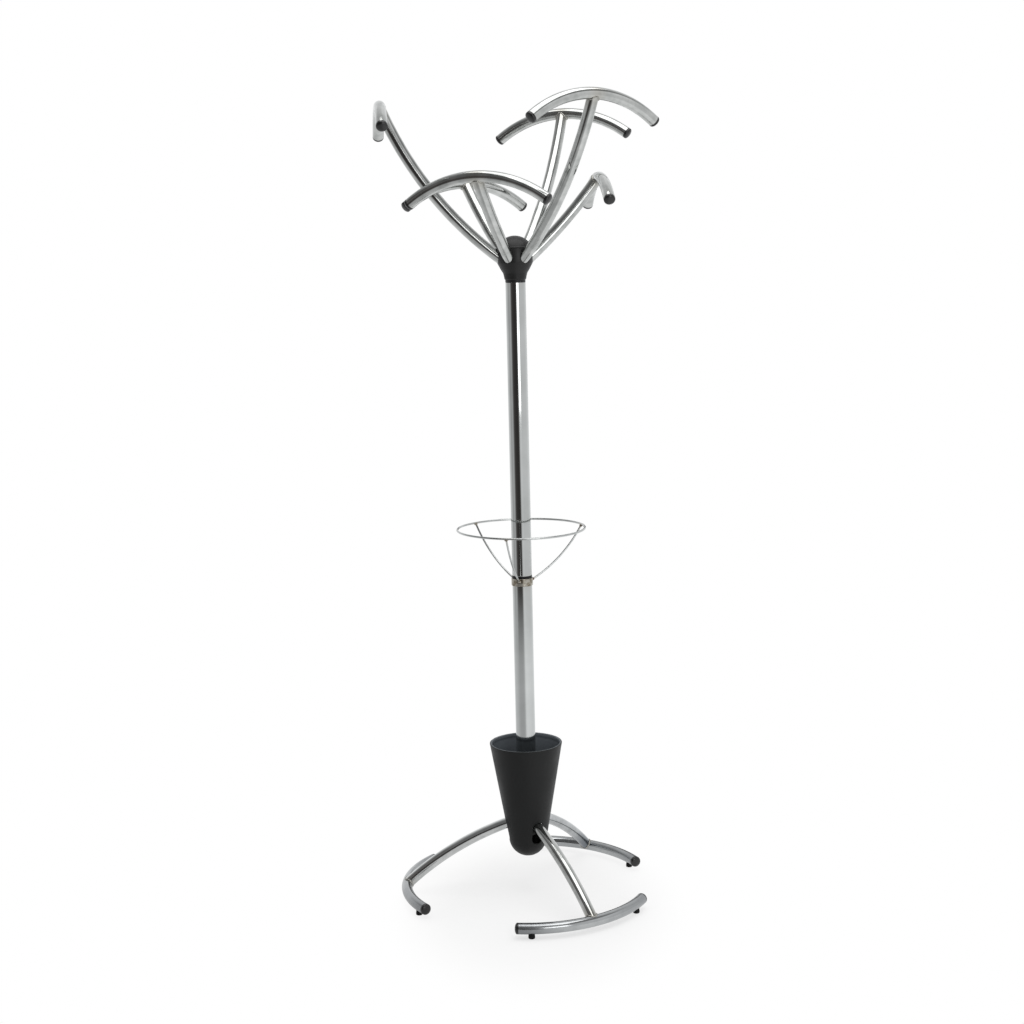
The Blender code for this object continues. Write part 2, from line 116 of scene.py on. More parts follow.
def layered(tree, colour, layers):
    # lays each colour over the last, as far as its mask says
    for mask, over in layers:
        colour = addNode(tree, mix, {0: mask, 6: colour, 7: linearColour(over)}, 2, data_type="RGBA")
    return colour


# the part of a noise's height over which each pattern comes in
spans = {"haze": (0.35, 0.7), "clouds": (0.36, 0.64), "rubs": (0.45, 0.72), "pits": (0.0, 0.05), "unwornPits": 0.86,
         "scuffs": (0.66, 0.78), "gloss": (0.3, 0.7), "mingled": (0.38, 0.62), "rust": 0.25}
metallic = {"pits": 0.25, "rust": 0.1}  # how much of the metal still shows there


def chromePlate(name, finish):
    # Chromium electroplated over buffed steel tube, years old. It gives a near mirror that the haze softens
    # in clouds, hairline rubs along the tube, and brown pin-holes where the plate is thin beside the welds.
    material, tree, shader, place, wear = newFinish(name, alongTube=True)
    haze = addNode(tree, noise, {"Vector": place, "Scale": perMetre(finish["cloudMm"]), "Detail": 5.0,
                                 "Roughness": 0.6})
    # hairlines are about 0.1 mm wide on the tube, and are drawn wider so that they show
    drawn = addNode(tree, "ShaderNodeMapping", {"Vector": place, "Scale": (1.0, 1.0, 1 / finish["rubStretch"])})
    rubs = addNode(tree, noise, {"Vector": drawn, "Scale": perMetre(finish["rubMm"]), "Detail": 3.0, "Roughness": 0.7})
    pits = addNode(tree, noise, {"Vector": place, "Scale": perMetre(finish["pitMm"]), "Detail": 4.0,
                                 "Roughness": 0.65})
    ripple = addNode(tree, noise, {"Vector": place, "Scale": perMetre(finish["rippleMm"]), "Detail": 1.0,
                                   "Roughness": 0.4})
    hazed = addNode(tree, mapRange, (haze, *spans["haze"], finish["smooth"], finish["hazy"]))
    rubbedAndPaintedLight = addNode(tree, mapRange, (rubs, *spans["rubs"], 0.0, finish["rubDepth"]))
    worn = addNode(tree, maths, (wear, finish["wornHaze"], hazed), operation="MULTIPLY_ADD")
    pitLevel = addNode(tree, mapRange, (wear, 0.0, 1.0, spans["unwornPits"], finish["pitLevel"]))
    pitted = addNode(tree, maths, (pits, pitLevel), operation="SUBTRACT")
    pitMask = addNode(tree, mapRange, (pitted, *spans["pits"]))
    cloudy = addNode(tree, mapRange, (haze, *spans["clouds"]))
    # this tarnish is also painted shade: it darkens the foot bars towards their ends and the first leg towards its
    # weld
    tarnishAndShade = addNode(tree, maths, (wear, finish["tarnishAndShade"]), operation="MULTIPLY")
    waves = addNode(tree, bump, {"Height": ripple, "Strength": 1.0, "Distance": finish["rippleDepthMm"] / 1000})
    setInputs(tree, shader, {
        "Base Color": layered(tree, linearColour(finish["bright"]), (
            (cloudy, finish["dull"]), (tarnishAndShade, finish["tarnishAndShadeColour"]), (pitMask, finish["rust"]))),
        "Roughness": addNode(tree, maths, (worn, rubbedAndPaintedLight), operation="ADD"),
        "Metallic": addNode(tree, mapRange, (pitMask, 0.0, 1.0, 1.0, metallic["pits"])),
        "Normal": addNode(tree, bump, {"Height": pits, "Strength": 1.0, "Distance": finish["grainDepthMm"] / 1000,
                                       "Normal": waves}),
    })
    return material


def mouldedPlastic(name, finish):
    # Black polyamide or ABS, moulded in a spark-eroded tool. It gives a satin skin of fine grain, greyed by
    # handling in soft clouds, with a few pale scuffs and edges rubbed lighter. On the cup the pale edge is also a
    # painted highlight, and its lighter inner wall a painted reflection.
    material, tree, shader, place, wear = newFinish(name, alongTube=False)
    # the tool's grain is about 0.2 mm, and is drawn coarser so that it shows
    grain = addNode(tree, noise, {"Vector": place, "Scale": perMetre(finish["grainMm"]), "Detail": 2.0,
                                  "Roughness": 0.6})
    clouds = addNode(tree, noise, {"Vector": place, "Scale": perMetre(finish["cloudMm"]), "Detail": 5.0,
                                   "Roughness": 0.65})
    leant = addNode(tree, "ShaderNodeMapping", {"Vector": place, "Rotation": (0.5, 0.3, 0.9),
                                                "Scale": (1.0, 1.0, 1 / finish["scuffStretch"])})
    scuffs = addNode(tree, noise, {"Vector": leant, "Scale": perMetre(finish["scuffMm"]), "Detail": 3.0,
                                   "Roughness": 0.75})
    scuffed = addNode(tree, mapRange, (scuffs, *spans["scuffs"], 0.0, finish["scuffStrength"]))
    # this mask also lays painted light on the cup: a highlight along its lip and a reflection on its inner wall
    rubbedAndPaintedLight = addNode(tree, maths, (scuffed, wear), operation="MAXIMUM")
    setInputs(tree, shader, {
        "Base Color": layered(tree, linearColour(finish["deep"]), (
            (clouds, finish["greyed"]), (rubbedAndPaintedLight, finish["rubbedAndPaintedLight"]))),
        "Roughness": addNode(tree, mapRange, (clouds, *spans["gloss"], finish["smooth"], finish["matt"])),
        "IOR": finish["ior"], "Specular IOR Level": finish["gloss"],
        "Normal": addNode(tree, bump, {"Height": grain, "Strength": 1.0, "Distance": finish["grainDepthMm"] / 1000}),
    })
    return material


def bareMetal(name, finish):
    # Metal with no bright plate: the zinc-passivated spigot, the cast iron leg hub, or the collar whose
    # nickel has worn to yellow-brown. It gives a dull grain with two mingled colours and blotches of rust.
    material, tree, shader, place, wear = newFinish(name, alongTube=False)
    banded = addNode(tree, "ShaderNodeMapping", {"Vector": place, "Scale": (1.0, 1.0, finish["bandStretch"])})
    patches = addNode(tree, noise, {"Vector": banded, "Scale": perMetre(finish["patchMm"]), "Detail": 5.0,
                                    "Roughness": 0.65})
    grain = addNode(tree, noise, {"Vector": place, "Scale": perMetre(finish["grainMm"]), "Detail": 3.0,
                                  "Roughness": 0.6})
    mingled = addNode(tree, mapRange, (patches, *spans["mingled"]))
    rustiness = addNode(tree, maths, (patches, wear, wear), operation="MULTIPLY_ADD")
    rusted = addNode(tree, mapRange, (rustiness, finish["rustLevel"], finish["rustLevel"] + spans["rust"]))
    setInputs(tree, shader, {
        "Base Color": layered(tree, linearColour(finish["light"]), (
            (mingled, finish["dark"]), (rusted, finish["rust"]))),
        "Roughness": addNode(tree, mapRange, (patches, *spans["gloss"], finish["smooth"], finish["matt"])),
        "Metallic": addNode(tree, mapRange, (rusted, 0.0, 1.0, 1.0, metallic["rust"])),
        "Normal": addNode(tree, bump, {"Height": grain, "Strength": 1.0, "Distance": finish["grainDepthMm"] / 1000}),
    })
    return material


tubePlate = {"bright": "#c1c2c0", "dull": "#a6a8a6", "smooth": 0.035, "hazy": 0.13, "cloudMm": 26, "rubMm": 1.5,
             "rubStretch": 40, "rubDepth": 0.10, "pitMm": 1.8, "pitLevel": 0.66, "rippleMm": 30,
             "rippleDepthMm": 0.03, "grainDepthMm": 0.0015, "tarnishAndShade": 0.35, "tarnishAndShadeColour": "#9f988a",
             "rust": "#4d3a2a", "wornHaze": 0.02}
# each of the others is the tube's plate, apart from what its own row says
chromes = {
    "mast": {"bright": "#bfc1c0", "dull": "#b6b8b7", "smooth": 0.03, "hazy": 0.075, "cloudMm": 70, "rubMm": 1.6,
             "rubStretch": 60, "rubDepth": 0.04, "pitLevel": 0.70, "rippleMm": 60, "rippleDepthMm": 0.035,
             "grainDepthMm": 0.001, "tarnishAndShade": 0.25, "tarnishAndShadeColour": "#a39d92", "rust": "#54412f", "wornHaze": 0.0},
    # the foot bars are a darker copy of the plate, painted shade, and their tarnish colour darkens their ends further
    # as painted shade
    "footBar": {"bright": "#b4b6b6", "dull": "#a2a4a5", "smooth": 0.04, "hazy": 0.12, "cloudMm": 34, "rubDepth": 0.08,
                "grainDepthMm": 0.003, "tarnishAndShade": 0.9, "tarnishAndShadeColour": "#8d8f91", "wornHaze": 0.16},
    "wire": {"bright": "#bcbebd", "dull": "#abadac", "smooth": 0.07, "hazy": 0.16, "cloudMm": 16, "rubMm": 0.9,
             "rubStretch": 30, "rubDepth": 0.06, "pitMm": 1.4, "pitLevel": 0.68, "grainDepthMm": 0.001,
             "tarnishAndShade": 0.3, "tarnishAndShadeColour": "#9a9284", "wornHaze": 0.0},
    "weld": {"bright": "#b3b4b2", "dull": "#989895", "smooth": 0.1, "hazy": 0.26, "cloudMm": 7, "rubStretch": 1,
             "rubDepth": 0.1, "pitMm": 1.6, "pitLevel": 0.60, "rippleMm": 3.5, "rippleDepthMm": 0.1,
             "grainDepthMm": 0.01, "tarnishAndShade": 0.4, "tarnishAndShadeColour": "#8f8775", "rust": "#4a3626", "wornHaze": 0.0},
    # the legs are painted apart: the first is a darker copy of the plate, painted shade that grows darker and
    # bluer towards its weld, and the second a brighter copy, a painted highlight
    "brighterPaintedLeg": {"bright": "#d9dad9", "dull": "#c4c6c5", "tarnishAndShade": 0.2},
    "darkerPaintedLeg": {"bright": "#b9bbbc", "dull": "#a0a2a3", "tarnishAndShade": 0.9, "tarnishAndShadeColour": "#666c73"},
}
plastics = {
    "hub": {"deep": "#121212", "greyed": "#1c1c1c", "rubbedAndPaintedLight": "#3c3c3c", "smooth": 0.34, "matt": 0.5, "ior": 1.5,
            "gloss": 0.3, "grainMm": 0.7, "grainDepthMm": 0.035, "cloudMm": 22, "scuffMm": 3.2, "scuffStretch": 9,
            "scuffStrength": 0.35},
    "cap": {"deep": "#111111", "greyed": "#1b1b1b", "rubbedAndPaintedLight": "#434343", "smooth": 0.2, "matt": 0.36, "ior": 1.5,
            "gloss": 0.5, "grainMm": 0.6, "grainDepthMm": 0.03, "cloudMm": 9, "scuffMm": 2.2, "scuffStretch": 5,
            "scuffStrength": 0.5},
    # the cup's rubbed colour is also its painted highlight on the lip and its painted reflection on the inner wall
    "cup": {"deep": "#101111", "greyed": "#191a1a", "rubbedAndPaintedLight": "#686e74", "smooth": 0.4, "matt": 0.56, "ior": 1.49,
            "gloss": 0.24, "grainMm": 0.9, "grainDepthMm": 0.05, "cloudMm": 48, "scuffMm": 5.0, "scuffStretch": 12,
            "scuffStrength": 0.10},
    "bush": {"deep": "#0c0c0c", "greyed": "#121212", "rubbedAndPaintedLight": "#2c2c2c", "smooth": 0.4, "matt": 0.55, "ior": 1.5,
             "gloss": 0.2, "grainMm": 0.5, "grainDepthMm": 0.02, "cloudMm": 8, "scuffMm": 2.0, "scuffStretch": 4,
             "scuffStrength": 0.3},
    "glide": {"deep": "#0f0f0f", "greyed": "#171716", "rubbedAndPaintedLight": "#403e3a", "smooth": 0.7, "matt": 0.9, "ior": 1.52,
              "gloss": 0.2, "grainMm": 0.8, "grainDepthMm": 0.08, "cloudMm": 5, "scuffMm": 1.6, "scuffStretch": 2,
              "scuffStrength": 0.6},
}
bareMetals = {
    "collar": {"light": "#b5b1a8", "dark": "#756c5c", "rust": "#5b3a20", "rustLevel": 0.85, "smooth": 0.05,
               "matt": 0.18, "patchMm": 10, "bandStretch": 1.3, "grainMm": 1.1, "grainDepthMm": 0.015},
    "zinc": {"light": "#a7a9a8", "dark": "#84857f", "rust": "#6a4a2e", "rustLevel": 1.6, "smooth": 0.3,
             "matt": 0.45, "patchMm": 9, "bandStretch": 0.4, "grainMm": 0.8, "grainDepthMm": 0.02},
    "iron": {"light": "#3b3b3a", "dark": "#262524", "rust": "#4a2f1d", "rustLevel": 0.75, "smooth": 0.5,
             "matt": 0.75, "patchMm": 6, "bandStretch": 1.0, "grainMm": 1.2, "grainDepthMm": 0.2},
}
tubeChrome = chromePlate("chromePlatedBentTube", tubePlate)
mastChrome, footBarChromePaintedDarker, wireChrome, weldChrome, legChromePaintedBrighter, legChromePaintedDarker = [
    chromePlate(name, {**tubePlate, **chromes[row]})
    for name, row in (
        ("chromePlatedMastTube", "mast"), ("footBarChromeWithPaintedShade", "footBar"), ("chromePlatedWire", "wire"),
        ("chromePlatedWeld", "weld"), ("chromeLegWithPaintedHighlight", "brighterPaintedLeg"), ("chromeLegWithPaintedShade", "darkerPaintedLeg"))
]
hubPlastic = mouldedPlastic("mouldedBlackPolyamideHub", plastics["hub"])
capPlastic = mouldedPlastic("mouldedBlackTubePlug", plastics["cap"])
cupPlastic = mouldedPlastic("mouldedBlackPolypropyleneCup", plastics["cup"])
bushPlastic = mouldedPlastic("turnedBlackAcetalBush", plastics["bush"])
glideRubber = mouldedPlastic("mouldedBlackRubberGlide", plastics["glide"])
collarPlating = bareMetal("wornNickelPlatedCollar", bareMetals["collar"])
zincSteel = bareMetal("zincPassivatedSteel", bareMetals["zinc"])
castIron = bareMetal("castIronLegHub", bareMetals["iron"])
print("finishes:", len(bpy.data.materials), "materials")


# shapes in mesh code

def meshFrom(shape, name):
    # a mesh from a finished bmesh, with its faces turned outwards
    bmesh.ops.recalc_face_normals(shape, faces=shape.faces)
    mesh = bpy.data.meshes.new(name)
    shape.to_mesh(mesh)
    shape.free()
    return mesh


def softened(corners, size, steps=4, closed=False):
    # the same outline with its corners rounded over size metres, except where it starts and ends
    count = len(corners)
    outline = []
    for index, corner in enumerate(corners):
        here = Vector(corner)
        if not closed and index in (0, count - 1):
            outline.append(here)
            continue
        before, after = Vector(corners[index - 1]) - here, Vector(corners[(index + 1) % count]) - here
        room = min(size, cornerShare * before.length, cornerShare * after.length)
        first, last = here + before.normalized() * room, here + after.normalized() * room
        for step in range(steps + 1):
            share = step / steps
            outline.append(first * (1 - share) ** 2 + here * 2 * share * (1 - share) + last * share**2)
    return [tuple(point) for point in outline]


def turnedMesh(name, outline, sides):
    # an outline of (radius, height) points turned about the Z axis
    shape = bmesh.new()
    rings = []
    angles = [math.tau * side / sides for side in range(sides)]
    for radius, height in outline:
        if radius < hair:
            rings.append([shape.verts.new((0, 0, height))] * sides)
        else:
            rings.append([shape.verts.new((radius * math.cos(a), radius * math.sin(a), height)) for a in angles])
    onAxis = outline[0][0] < hair
    for lower, upper in zip(rings, rings[1:] if onAxis else rings[1:] + rings[:1]):
        for side in range(sides):
            after = (side + 1) % sides
            shape.faces.new(dict.fromkeys((lower[side], lower[after], upper[after], upper[side])))
    return meshFrom(shape, name)


def plainMesh(source, name):
    # what the modifiers make of an object, as a mesh of its own
    graph = bpy.context.evaluated_depsgraph_get()
    mesh = bpy.data.meshes.new_from_object(source.evaluated_get(graph), depsgraph=graph)
    mesh.name = name
    return mesh


def addObject(name, data):
    thing = bpy.data.objects.new(name, data)
    scene.collection.objects.link(thing)
    return thing


def cutMesh(name, mesh, cutters, edge):
    # the mesh less the cutters, with the cut edges rounded over
    blank = addObject(name, mesh)
    tools = [addObject(f"{name}Cutter{number}", cutter) for number, cutter in enumerate(cutters)]
    for tool in tools:
        modifier = blank.modifiers.new(tool.name, "BOOLEAN")
        modifier.operation, modifier.solver, modifier.object = "DIFFERENCE", "EXACT", tool
    modifier = blank.modifiers.new("roundedEdges", "BEVEL")
    modifier.width, modifier.segments, modifier.limit_method = edge, 2, "ANGLE"
    modifier.angle_limit = cutAngle
    bpy.context.view_layer.update()
    finished = plainMesh(blank, name)
    for thing in [blank, *tools]:
        bpy.data.objects.remove(thing)
    return finished


def markWearAndPaintedLight(mesh, wearAt=lambda point: 0.0, straight=False):
    # the second argument gives each point's share of wear, on the cup also of painted light, and straight keeps the
    # point's own place for the patterns
    wear = mesh.attributes.new("wear", "FLOAT", "POINT")
    wear.data.foreach_set("value", [float(wearAt(vertex.co)) for vertex in mesh.vertices])
    if straight:
        places = mesh.attributes.new("straight", "FLOAT_VECTOR", "POINT")
        places.data.foreach_set("vector", [value for vertex in mesh.vertices for value in vertex.co])


def fading(distance, reach):
    # 1 at no distance, falling to 0 at the reach
    return max(0.0, 1 - distance / reach)


def addPiece(name, mesh, material, body, nodes=()):
    piece = addObject(name, mesh)
    mesh.name = name
    mesh.materials.clear()
    mesh.materials.append(material)
    mesh.shade_smooth()
    mesh.set_sharp_from_angle(angle=creaseAngle)
    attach(piece, body)
    if nodes:
        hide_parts(*nodes)
    return piece


# bends, as the tube bender makes them

def bendFrom(point, radius, startDegrees, endDegrees, rising):
    # a bend in the XZ plane that leaves point at one slope and steepens to the other
    start, end = math.radians(startDegrees), math.radians(endDegrees)
    first = -axisZ if rising else axisZ
    centre = point - radius * (math.sin(start) * axisX + math.cos(start) * first)
    return {"Centre": centre, "First": first, "Second": axisX, "Bend Radius": radius,
            "Start Angle": start, "End Angle": end}


def bendPoint(bend, angle):
    outwards = math.cos(angle) * bend["First"] + math.sin(angle) * bend["Second"]
    return bend["Centre"] + bend["Bend Radius"] * outwards


def crossbarOn(bend, outwards):
    # the crossbar that a tube's far end carries: its own bend turns back from outwards
    half = math.radians(crossbars["halfAngle"])
    centre = bendPoint(bend, bend["End Angle"]) - crossbars["bendRadius"] * outwards
    return {"Centre": centre, "First": outwards, "Second": axisY, "Bend Radius": crossbars["bendRadius"],
            "Start Angle": -half, "End Angle": half}


bendSockets = {"Centre": (0.0, 0.0, 0.0), "First": (1.0, 0.0, 0.0), "Second": (0.0, 0.0, 1.0), "Bend Radius": 1.0,
               "Start Angle": 0.0, "End Angle": 1.0, "Cope Radius": 0.0, "Cope Relief": 0.0, "Turn": 0.0}


def newTree(name, sockets, result="Geometry"):
    # sockets gives each input's starting value, or the word for its kind
    tree = bpy.data.node_groups.new(name, "GeometryNodeTree")
    kinds = {float: "Float", int: "Int", tuple: "Vector"}
    for label, value in sockets.items():
        kind = kinds.get(type(value), value)
        socket = tree.interface.new_socket(label, in_out="INPUT", socket_type="NodeSocket" + kind)
        if kind != value:
            socket.default_value = value
    tree.interface.new_socket("Result", in_out="OUTPUT", socket_type="NodeSocket" + result)
    return tree, addNode(tree, "NodeGroupInput").node.outputs


def bendLength(tree, given):
    angle = addNode(tree, maths, (given["End Angle"], given["Start Angle"]), operation="SUBTRACT")
    return addNode(tree, maths, (angle, given["Bend Radius"]), operation="MULTIPLY")


def wayOut(tree, given, angle):
    # the way from the bend's centre to an angle of it, and the way across the bend
    parts = []
    for axis, wave in (("First", "COSINE"), ("Second", "SINE")):
        size = addNode(tree, maths, (angle,), operation=wave)
        parts.append(addNode(tree, vectorMaths, {0: given[axis], "Scale": size}, operation="SCALE"))
    across = addNode(tree, vectorMaths, (given["First"], given["Second"]), operation="CROSS_PRODUCT")
    return addNode(tree, vectorMaths, parts, operation="ADD"), across


def bendPlaceTree():
    # Carries a point of the straight tube to the bend. Across is its place in the tube's section, and Share
    # how far along it lies. The far end is coped to sit on a crossbar of radius Cope Radius.
    tree, given = newTree("bendPlace", {"Across": (0.0, 0.0, 0.0), "Share": 0.0, **bendSockets}, "Vector")
    across = addNode(tree, splitXYZ, (given["Across"],)).node.outputs
    inPlane, cope, relief = [
        addNode(tree, maths, (value, value), operation="MULTIPLY")
        for value in (across["X"], given["Cope Radius"], given["Cope Relief"])
    ]
    depth = addNode(tree, maths, (cope, inPlane), operation="SUBTRACT")
    kept = addNode(tree, maths, (depth, relief), operation="MAXIMUM")
    short = addNode(tree, maths, (kept,), operation="SQRT")
    room = addNode(tree, maths, (bendLength(tree, given), short), operation="SUBTRACT")
    run = addNode(tree, maths, (given["Share"], room), operation="MULTIPLY")
    swept = addNode(tree, maths, (run, given["Bend Radius"]), operation="DIVIDE")
    angle = addNode(tree, maths, (swept, given["Start Angle"]), operation="ADD")
    outwards, sideways = wayOut(tree, given, angle)
    distance = addNode(tree, maths, (given["Bend Radius"], across["X"]), operation="ADD")
    out = addNode(tree, vectorMaths, {0: outwards, "Scale": distance}, operation="SCALE")
    over = addNode(tree, vectorMaths, {0: sideways, "Scale": across["Y"]}, operation="SCALE")
    offset = addNode(tree, vectorMaths, (out, over), operation="ADD")
    placed = addNode(tree, vectorMaths, (offset, given["Centre"]), operation="ADD")
    turned = addNode(tree, "ShaderNodeVectorRotate", {"Vector": placed, "Angle": given["Turn"]},
                     rotation_type="Z_AXIS")
    addNode(tree, "NodeGroupOutput", (turned,))
    return tree


def bendNode(tree, given, across, share):
    # the shared group, fed by the inputs of the same names
    feeds = {label: given[label] for label in bendSockets}
    return addNode(tree, "GeometryNodeGroup", {**feeds, "Across": across, "Share": share}, node_tree=bendPlace)


def finishTree(tree, given, geometry):
    real = addNode(tree, "GeometryNodeRealizeInstances", (geometry,))
    painted = addNode(tree, "GeometryNodeSetMaterial", {"Geometry": real, "Material": given["Material"]})
    addNode(tree, "NodeGroupOutput", (painted,))
    return tree


def bentTubeTree():
    # a hollow tube: the section of its wall is swept round a ring, and the straight tube is then bent
    tree, given = newTree("bentTube", {
        **bendSockets, "Tube Radius": 0.012, "Wall": 0.0015, "Sides": 48, "Stations": 40, "Weld Share": 1.0,
        "Wear Reach": 0.03, "Material": "Material"})
    section = addNode(tree, "GeometryNodeMeshGrid", {"Size X": given["Wall"], "Size Y": 1.0, "Vertices X": 2,
                                                     "Vertices Y": given["Stations"]}, "Mesh")
    neighbours = addNode(tree, "GeometryNodeInputMeshEdgeNeighbors", output="Face Count")
    onEdge = addNode(tree, "FunctionNodeCompare", {2: neighbours, 3: 1}, data_type="INT", operation="EQUAL")
    outline = addNode(tree, "GeometryNodeMeshToCurve", {"Mesh": section, "Selection": onEdge})
    halfWall = addNode(tree, maths, (given["Wall"], 0.5), operation="MULTIPLY")
    middle = addNode(tree, maths, (given["Tube Radius"], halfWall), operation="SUBTRACT")
    ring = addNode(tree, curveCircle, {"Resolution": given["Sides"], "Radius": middle}, "Curve")
    tube = addNode(tree, curveToMesh, {"Curve": ring, "Profile Curve": outline})
    position = addNode(tree, "GeometryNodeInputPosition")
    where = addNode(tree, splitXYZ, (position,)).node.outputs
    share = addNode(tree, maths, (where["Z"], 0.5), operation="ADD")
    length = bendLength(tree, given)
    run = addNode(tree, maths, (share, length), operation="MULTIPLY")
    shifted = addNode(tree, maths, (given["Turn"], run), operation="ADD")
    straight = addNode(tree, joinXYZ, (where["X"], where["Y"], shifted))
    away = addNode(tree, maths, (share, given["Weld Share"]), operation="SUBTRACT")
    farAway = addNode(tree, maths, (away, length), operation="MULTIPLY")
    distance = addNode(tree, maths, (farAway,), operation="ABSOLUTE")
    wear = addNode(tree, mapRange, (distance, 0.0, given["Wear Reach"], 1.0, 0.0), interpolation_type="SMOOTHSTEP")
    for label, value, kind in (("straight", straight, "FLOAT_VECTOR"), ("wear", wear, "FLOAT")):
        tube = addNode(tree, "GeometryNodeStoreNamedAttribute", {"Geometry": tube, "Name": label, "Value": value},
                       data_type=kind)
    bent = addNode(tree, setPosition, {"Geometry": tube, "Position": bendNode(tree, given, position, share)})
    return finishTree(tree, given, bent)


def aroundMast(tree, given, geometry):
    # copies of a piece, turned evenly about the mast
    points = addNode(tree, "GeometryNodePoints", {"Count": given["Count"]})
    index = addNode(tree, "GeometryNodeInputIndex")
    step = addNode(tree, maths, (math.tau, given["Count"]), operation="DIVIDE")
    turn = addNode(tree, maths, (index, step), operation="MULTIPLY")
    rotation = addNode(tree, joinXYZ, {"Z": turn})
    return addNode(tree, onPoints, {"Points": points, "Instance": geometry, "Rotation": rotation})


lumpSpan = (0.3, 0.7, 0.8, 1.2)  # heights of the noise, and how thick the bead is there


def weldBeadTree():
    # a fillet of weld round the coped end of each of several like tubes
    tree, given = newTree("weldBead", {
        **bendSockets, "Tube Radius": 0.012, "Bead Radius": 0.002, "Side Share": 0.5, "Ripple Count": 40.0,
        "Ripple Height": 0.1, "Lump Scale": 260.0, "Seed": 1.0, "Points": 200, "Count": 3, "Material": "Material"})
    ring = addNode(tree, curveCircle, {"Resolution": given["Points"], "Radius": given["Tube Radius"]}, "Curve")
    position = addNode(tree, "GeometryNodeInputPosition")
    where = addNode(tree, splitXYZ, (position,)).node.outputs
    angle = addNode(tree, maths, (where["Y"], where["X"]), operation="ARCTAN2")
    phase = addNode(tree, maths, (angle, given["Ripple Count"]), operation="MULTIPLY")
    wave = addNode(tree, maths, (phase,), operation="SINE")
    ripple = addNode(tree, maths, (wave, given["Ripple Height"], 1.0), operation="MULTIPLY_ADD")
    uneven = addNode(tree, noise, {"Vector": position, "W": given["Seed"], "Scale": given["Lump Scale"],
                                   "Detail": 2.0}, noise_dimensions="4D")
    lumps = addNode(tree, mapRange, (uneven, *lumpSpan))
    sine = addNode(tree, maths, (where["Y"], given["Tube Radius"]), operation="DIVIDE")
    sides = addNode(tree, maths, (sine,), operation="ABSOLUTE")
    fullness = addNode(tree, mapRange, (sides, 0.0, 1.0, given["Side Share"], 1.0))
    size = ripple
    for factor in (lumps, fullness, given["Bead Radius"]):
        size = addNode(tree, maths, (size, factor), operation="MULTIPLY")
    sized = addNode(tree, "GeometryNodeStoreNamedAttribute", {"Geometry": ring, "Name": "beadSize", "Value": size},
                    data_type="FLOAT")
    laid = addNode(tree, setPosition, {"Geometry": sized, "Position": bendNode(tree, given, position, 1.0)})
    profile = addNode(tree, curveCircle, {"Resolution": 12, "Radius": 1.0}, "Curve")
    scale = addNode(tree, "GeometryNodeInputNamedAttribute", {"Name": "beadSize"}, data_type="FLOAT")
    bead = addNode(tree, curveToMesh, {"Curve": laid, "Profile Curve": profile, "Scale": scale})
    cleared = addNode(tree, "GeometryNodeRemoveAttribute", {"Geometry": bead, "Name": "beadSize"})
    return finishTree(tree, given, aroundMast(tree, given, cleared))


def barPartsTree():
    # a plug in both ends of each crossbar, or with Upright at 1 a glide under it, set in from the ends
    tree, given = newTree("barParts", {
        **bendSockets, "Part": "Object", "Inset": 0.0, "Upright": 0.0, "Count": 3, "Material": "Material"})
    index = addNode(tree, "GeometryNodeInputIndex")
    side = addNode(tree, maths, (index, 2.0, -1.0), operation="MULTIPLY_ADD")
    away = addNode(tree, maths, (given["Inset"], given["Bend Radius"]), operation="DIVIDE")
    half = addNode(tree, maths, (given["End Angle"], away), operation="SUBTRACT")
    angle = addNode(tree, maths, (side, half), operation="MULTIPLY")
    outwards, sideways = wayOut(tree, given, angle)
    out = addNode(tree, vectorMaths, {0: outwards, "Scale": given["Bend Radius"]}, operation="SCALE")
    placed = addNode(tree, vectorMaths, (out, given["Centre"]), operation="ADD")
    tangent = addNode(tree, vectorMaths, (sideways, outwards), operation="CROSS_PRODUCT")
    facing = addNode(tree, vectorMaths, {0: tangent, "Scale": side}, operation="SCALE")
    up = addNode(tree, mix, {0: given["Upright"], 4: facing, 5: (0.0, 0.0, 1.0)}, 1, data_type="VECTOR")
    along = addNode(tree, mix, {0: given["Upright"], 4: sideways, 5: tangent}, 1, data_type="VECTOR")
    lifted = addNode(tree, splitXYZ, (placed,)).node.outputs
    standing = addNode(tree, maths, (1.0, given["Upright"]), operation="SUBTRACT")
    height = addNode(tree, maths, (lifted["Z"], standing), operation="MULTIPLY")
    spot = addNode(tree, joinXYZ, (lifted["X"], lifted["Y"], height))
    points = addNode(tree, "GeometryNodePoints", {"Count": 2, "Position": spot})
    rotation = addNode(tree, "FunctionNodeAxesToRotation", (up, along), primary_axis="Z", secondary_axis="Y")
    part = addNode(tree, "GeometryNodeObjectInfo", {"Object": given["Part"]}, "Geometry")
    pair = addNode(tree, onPoints, {"Points": points, "Instance": part, "Rotation": rotation})
    turn = addNode(tree, joinXYZ, {"Z": given["Turn"]})
    turned = addNode(tree, "GeometryNodeTransform", {"Geometry": pair, "Rotation": turn})
    return finishTree(tree, given, aroundMast(tree, given, turned))


def bentWiresTree():
    # several like wires, each round and bent, with their ends closed
    tree, given = newTree("bentWires", {
        **bendSockets, "Wire Radius": 0.002, "Sides": 20, "Stations": 40, "Count": 3, "Material": "Material"})
    line = addNode(tree, "GeometryNodeCurvePrimitiveLine", {"Start": (0, 0, 0), "End": (0, 0, 1)})
    spaced = addNode(tree, "GeometryNodeResampleCurve", {"Curve": line, "Count": given["Stations"]})
    position = addNode(tree, "GeometryNodeInputPosition")
    share = addNode(tree, splitXYZ, (position,), "Z")
    centreLine = bendNode(tree, given, (0.0, 0.0, 0.0), share)
    laid = addNode(tree, setPosition, {"Geometry": spaced, "Position": centreLine})
    profile = addNode(tree, curveCircle, {"Resolution": given["Sides"], "Radius": given["Wire Radius"]}, "Curve")
    wire = addNode(tree, curveToMesh, {"Curve": laid, "Profile Curve": profile, "Fill Caps": True})
    return finishTree(tree, given, aroundMast(tree, given, wire))


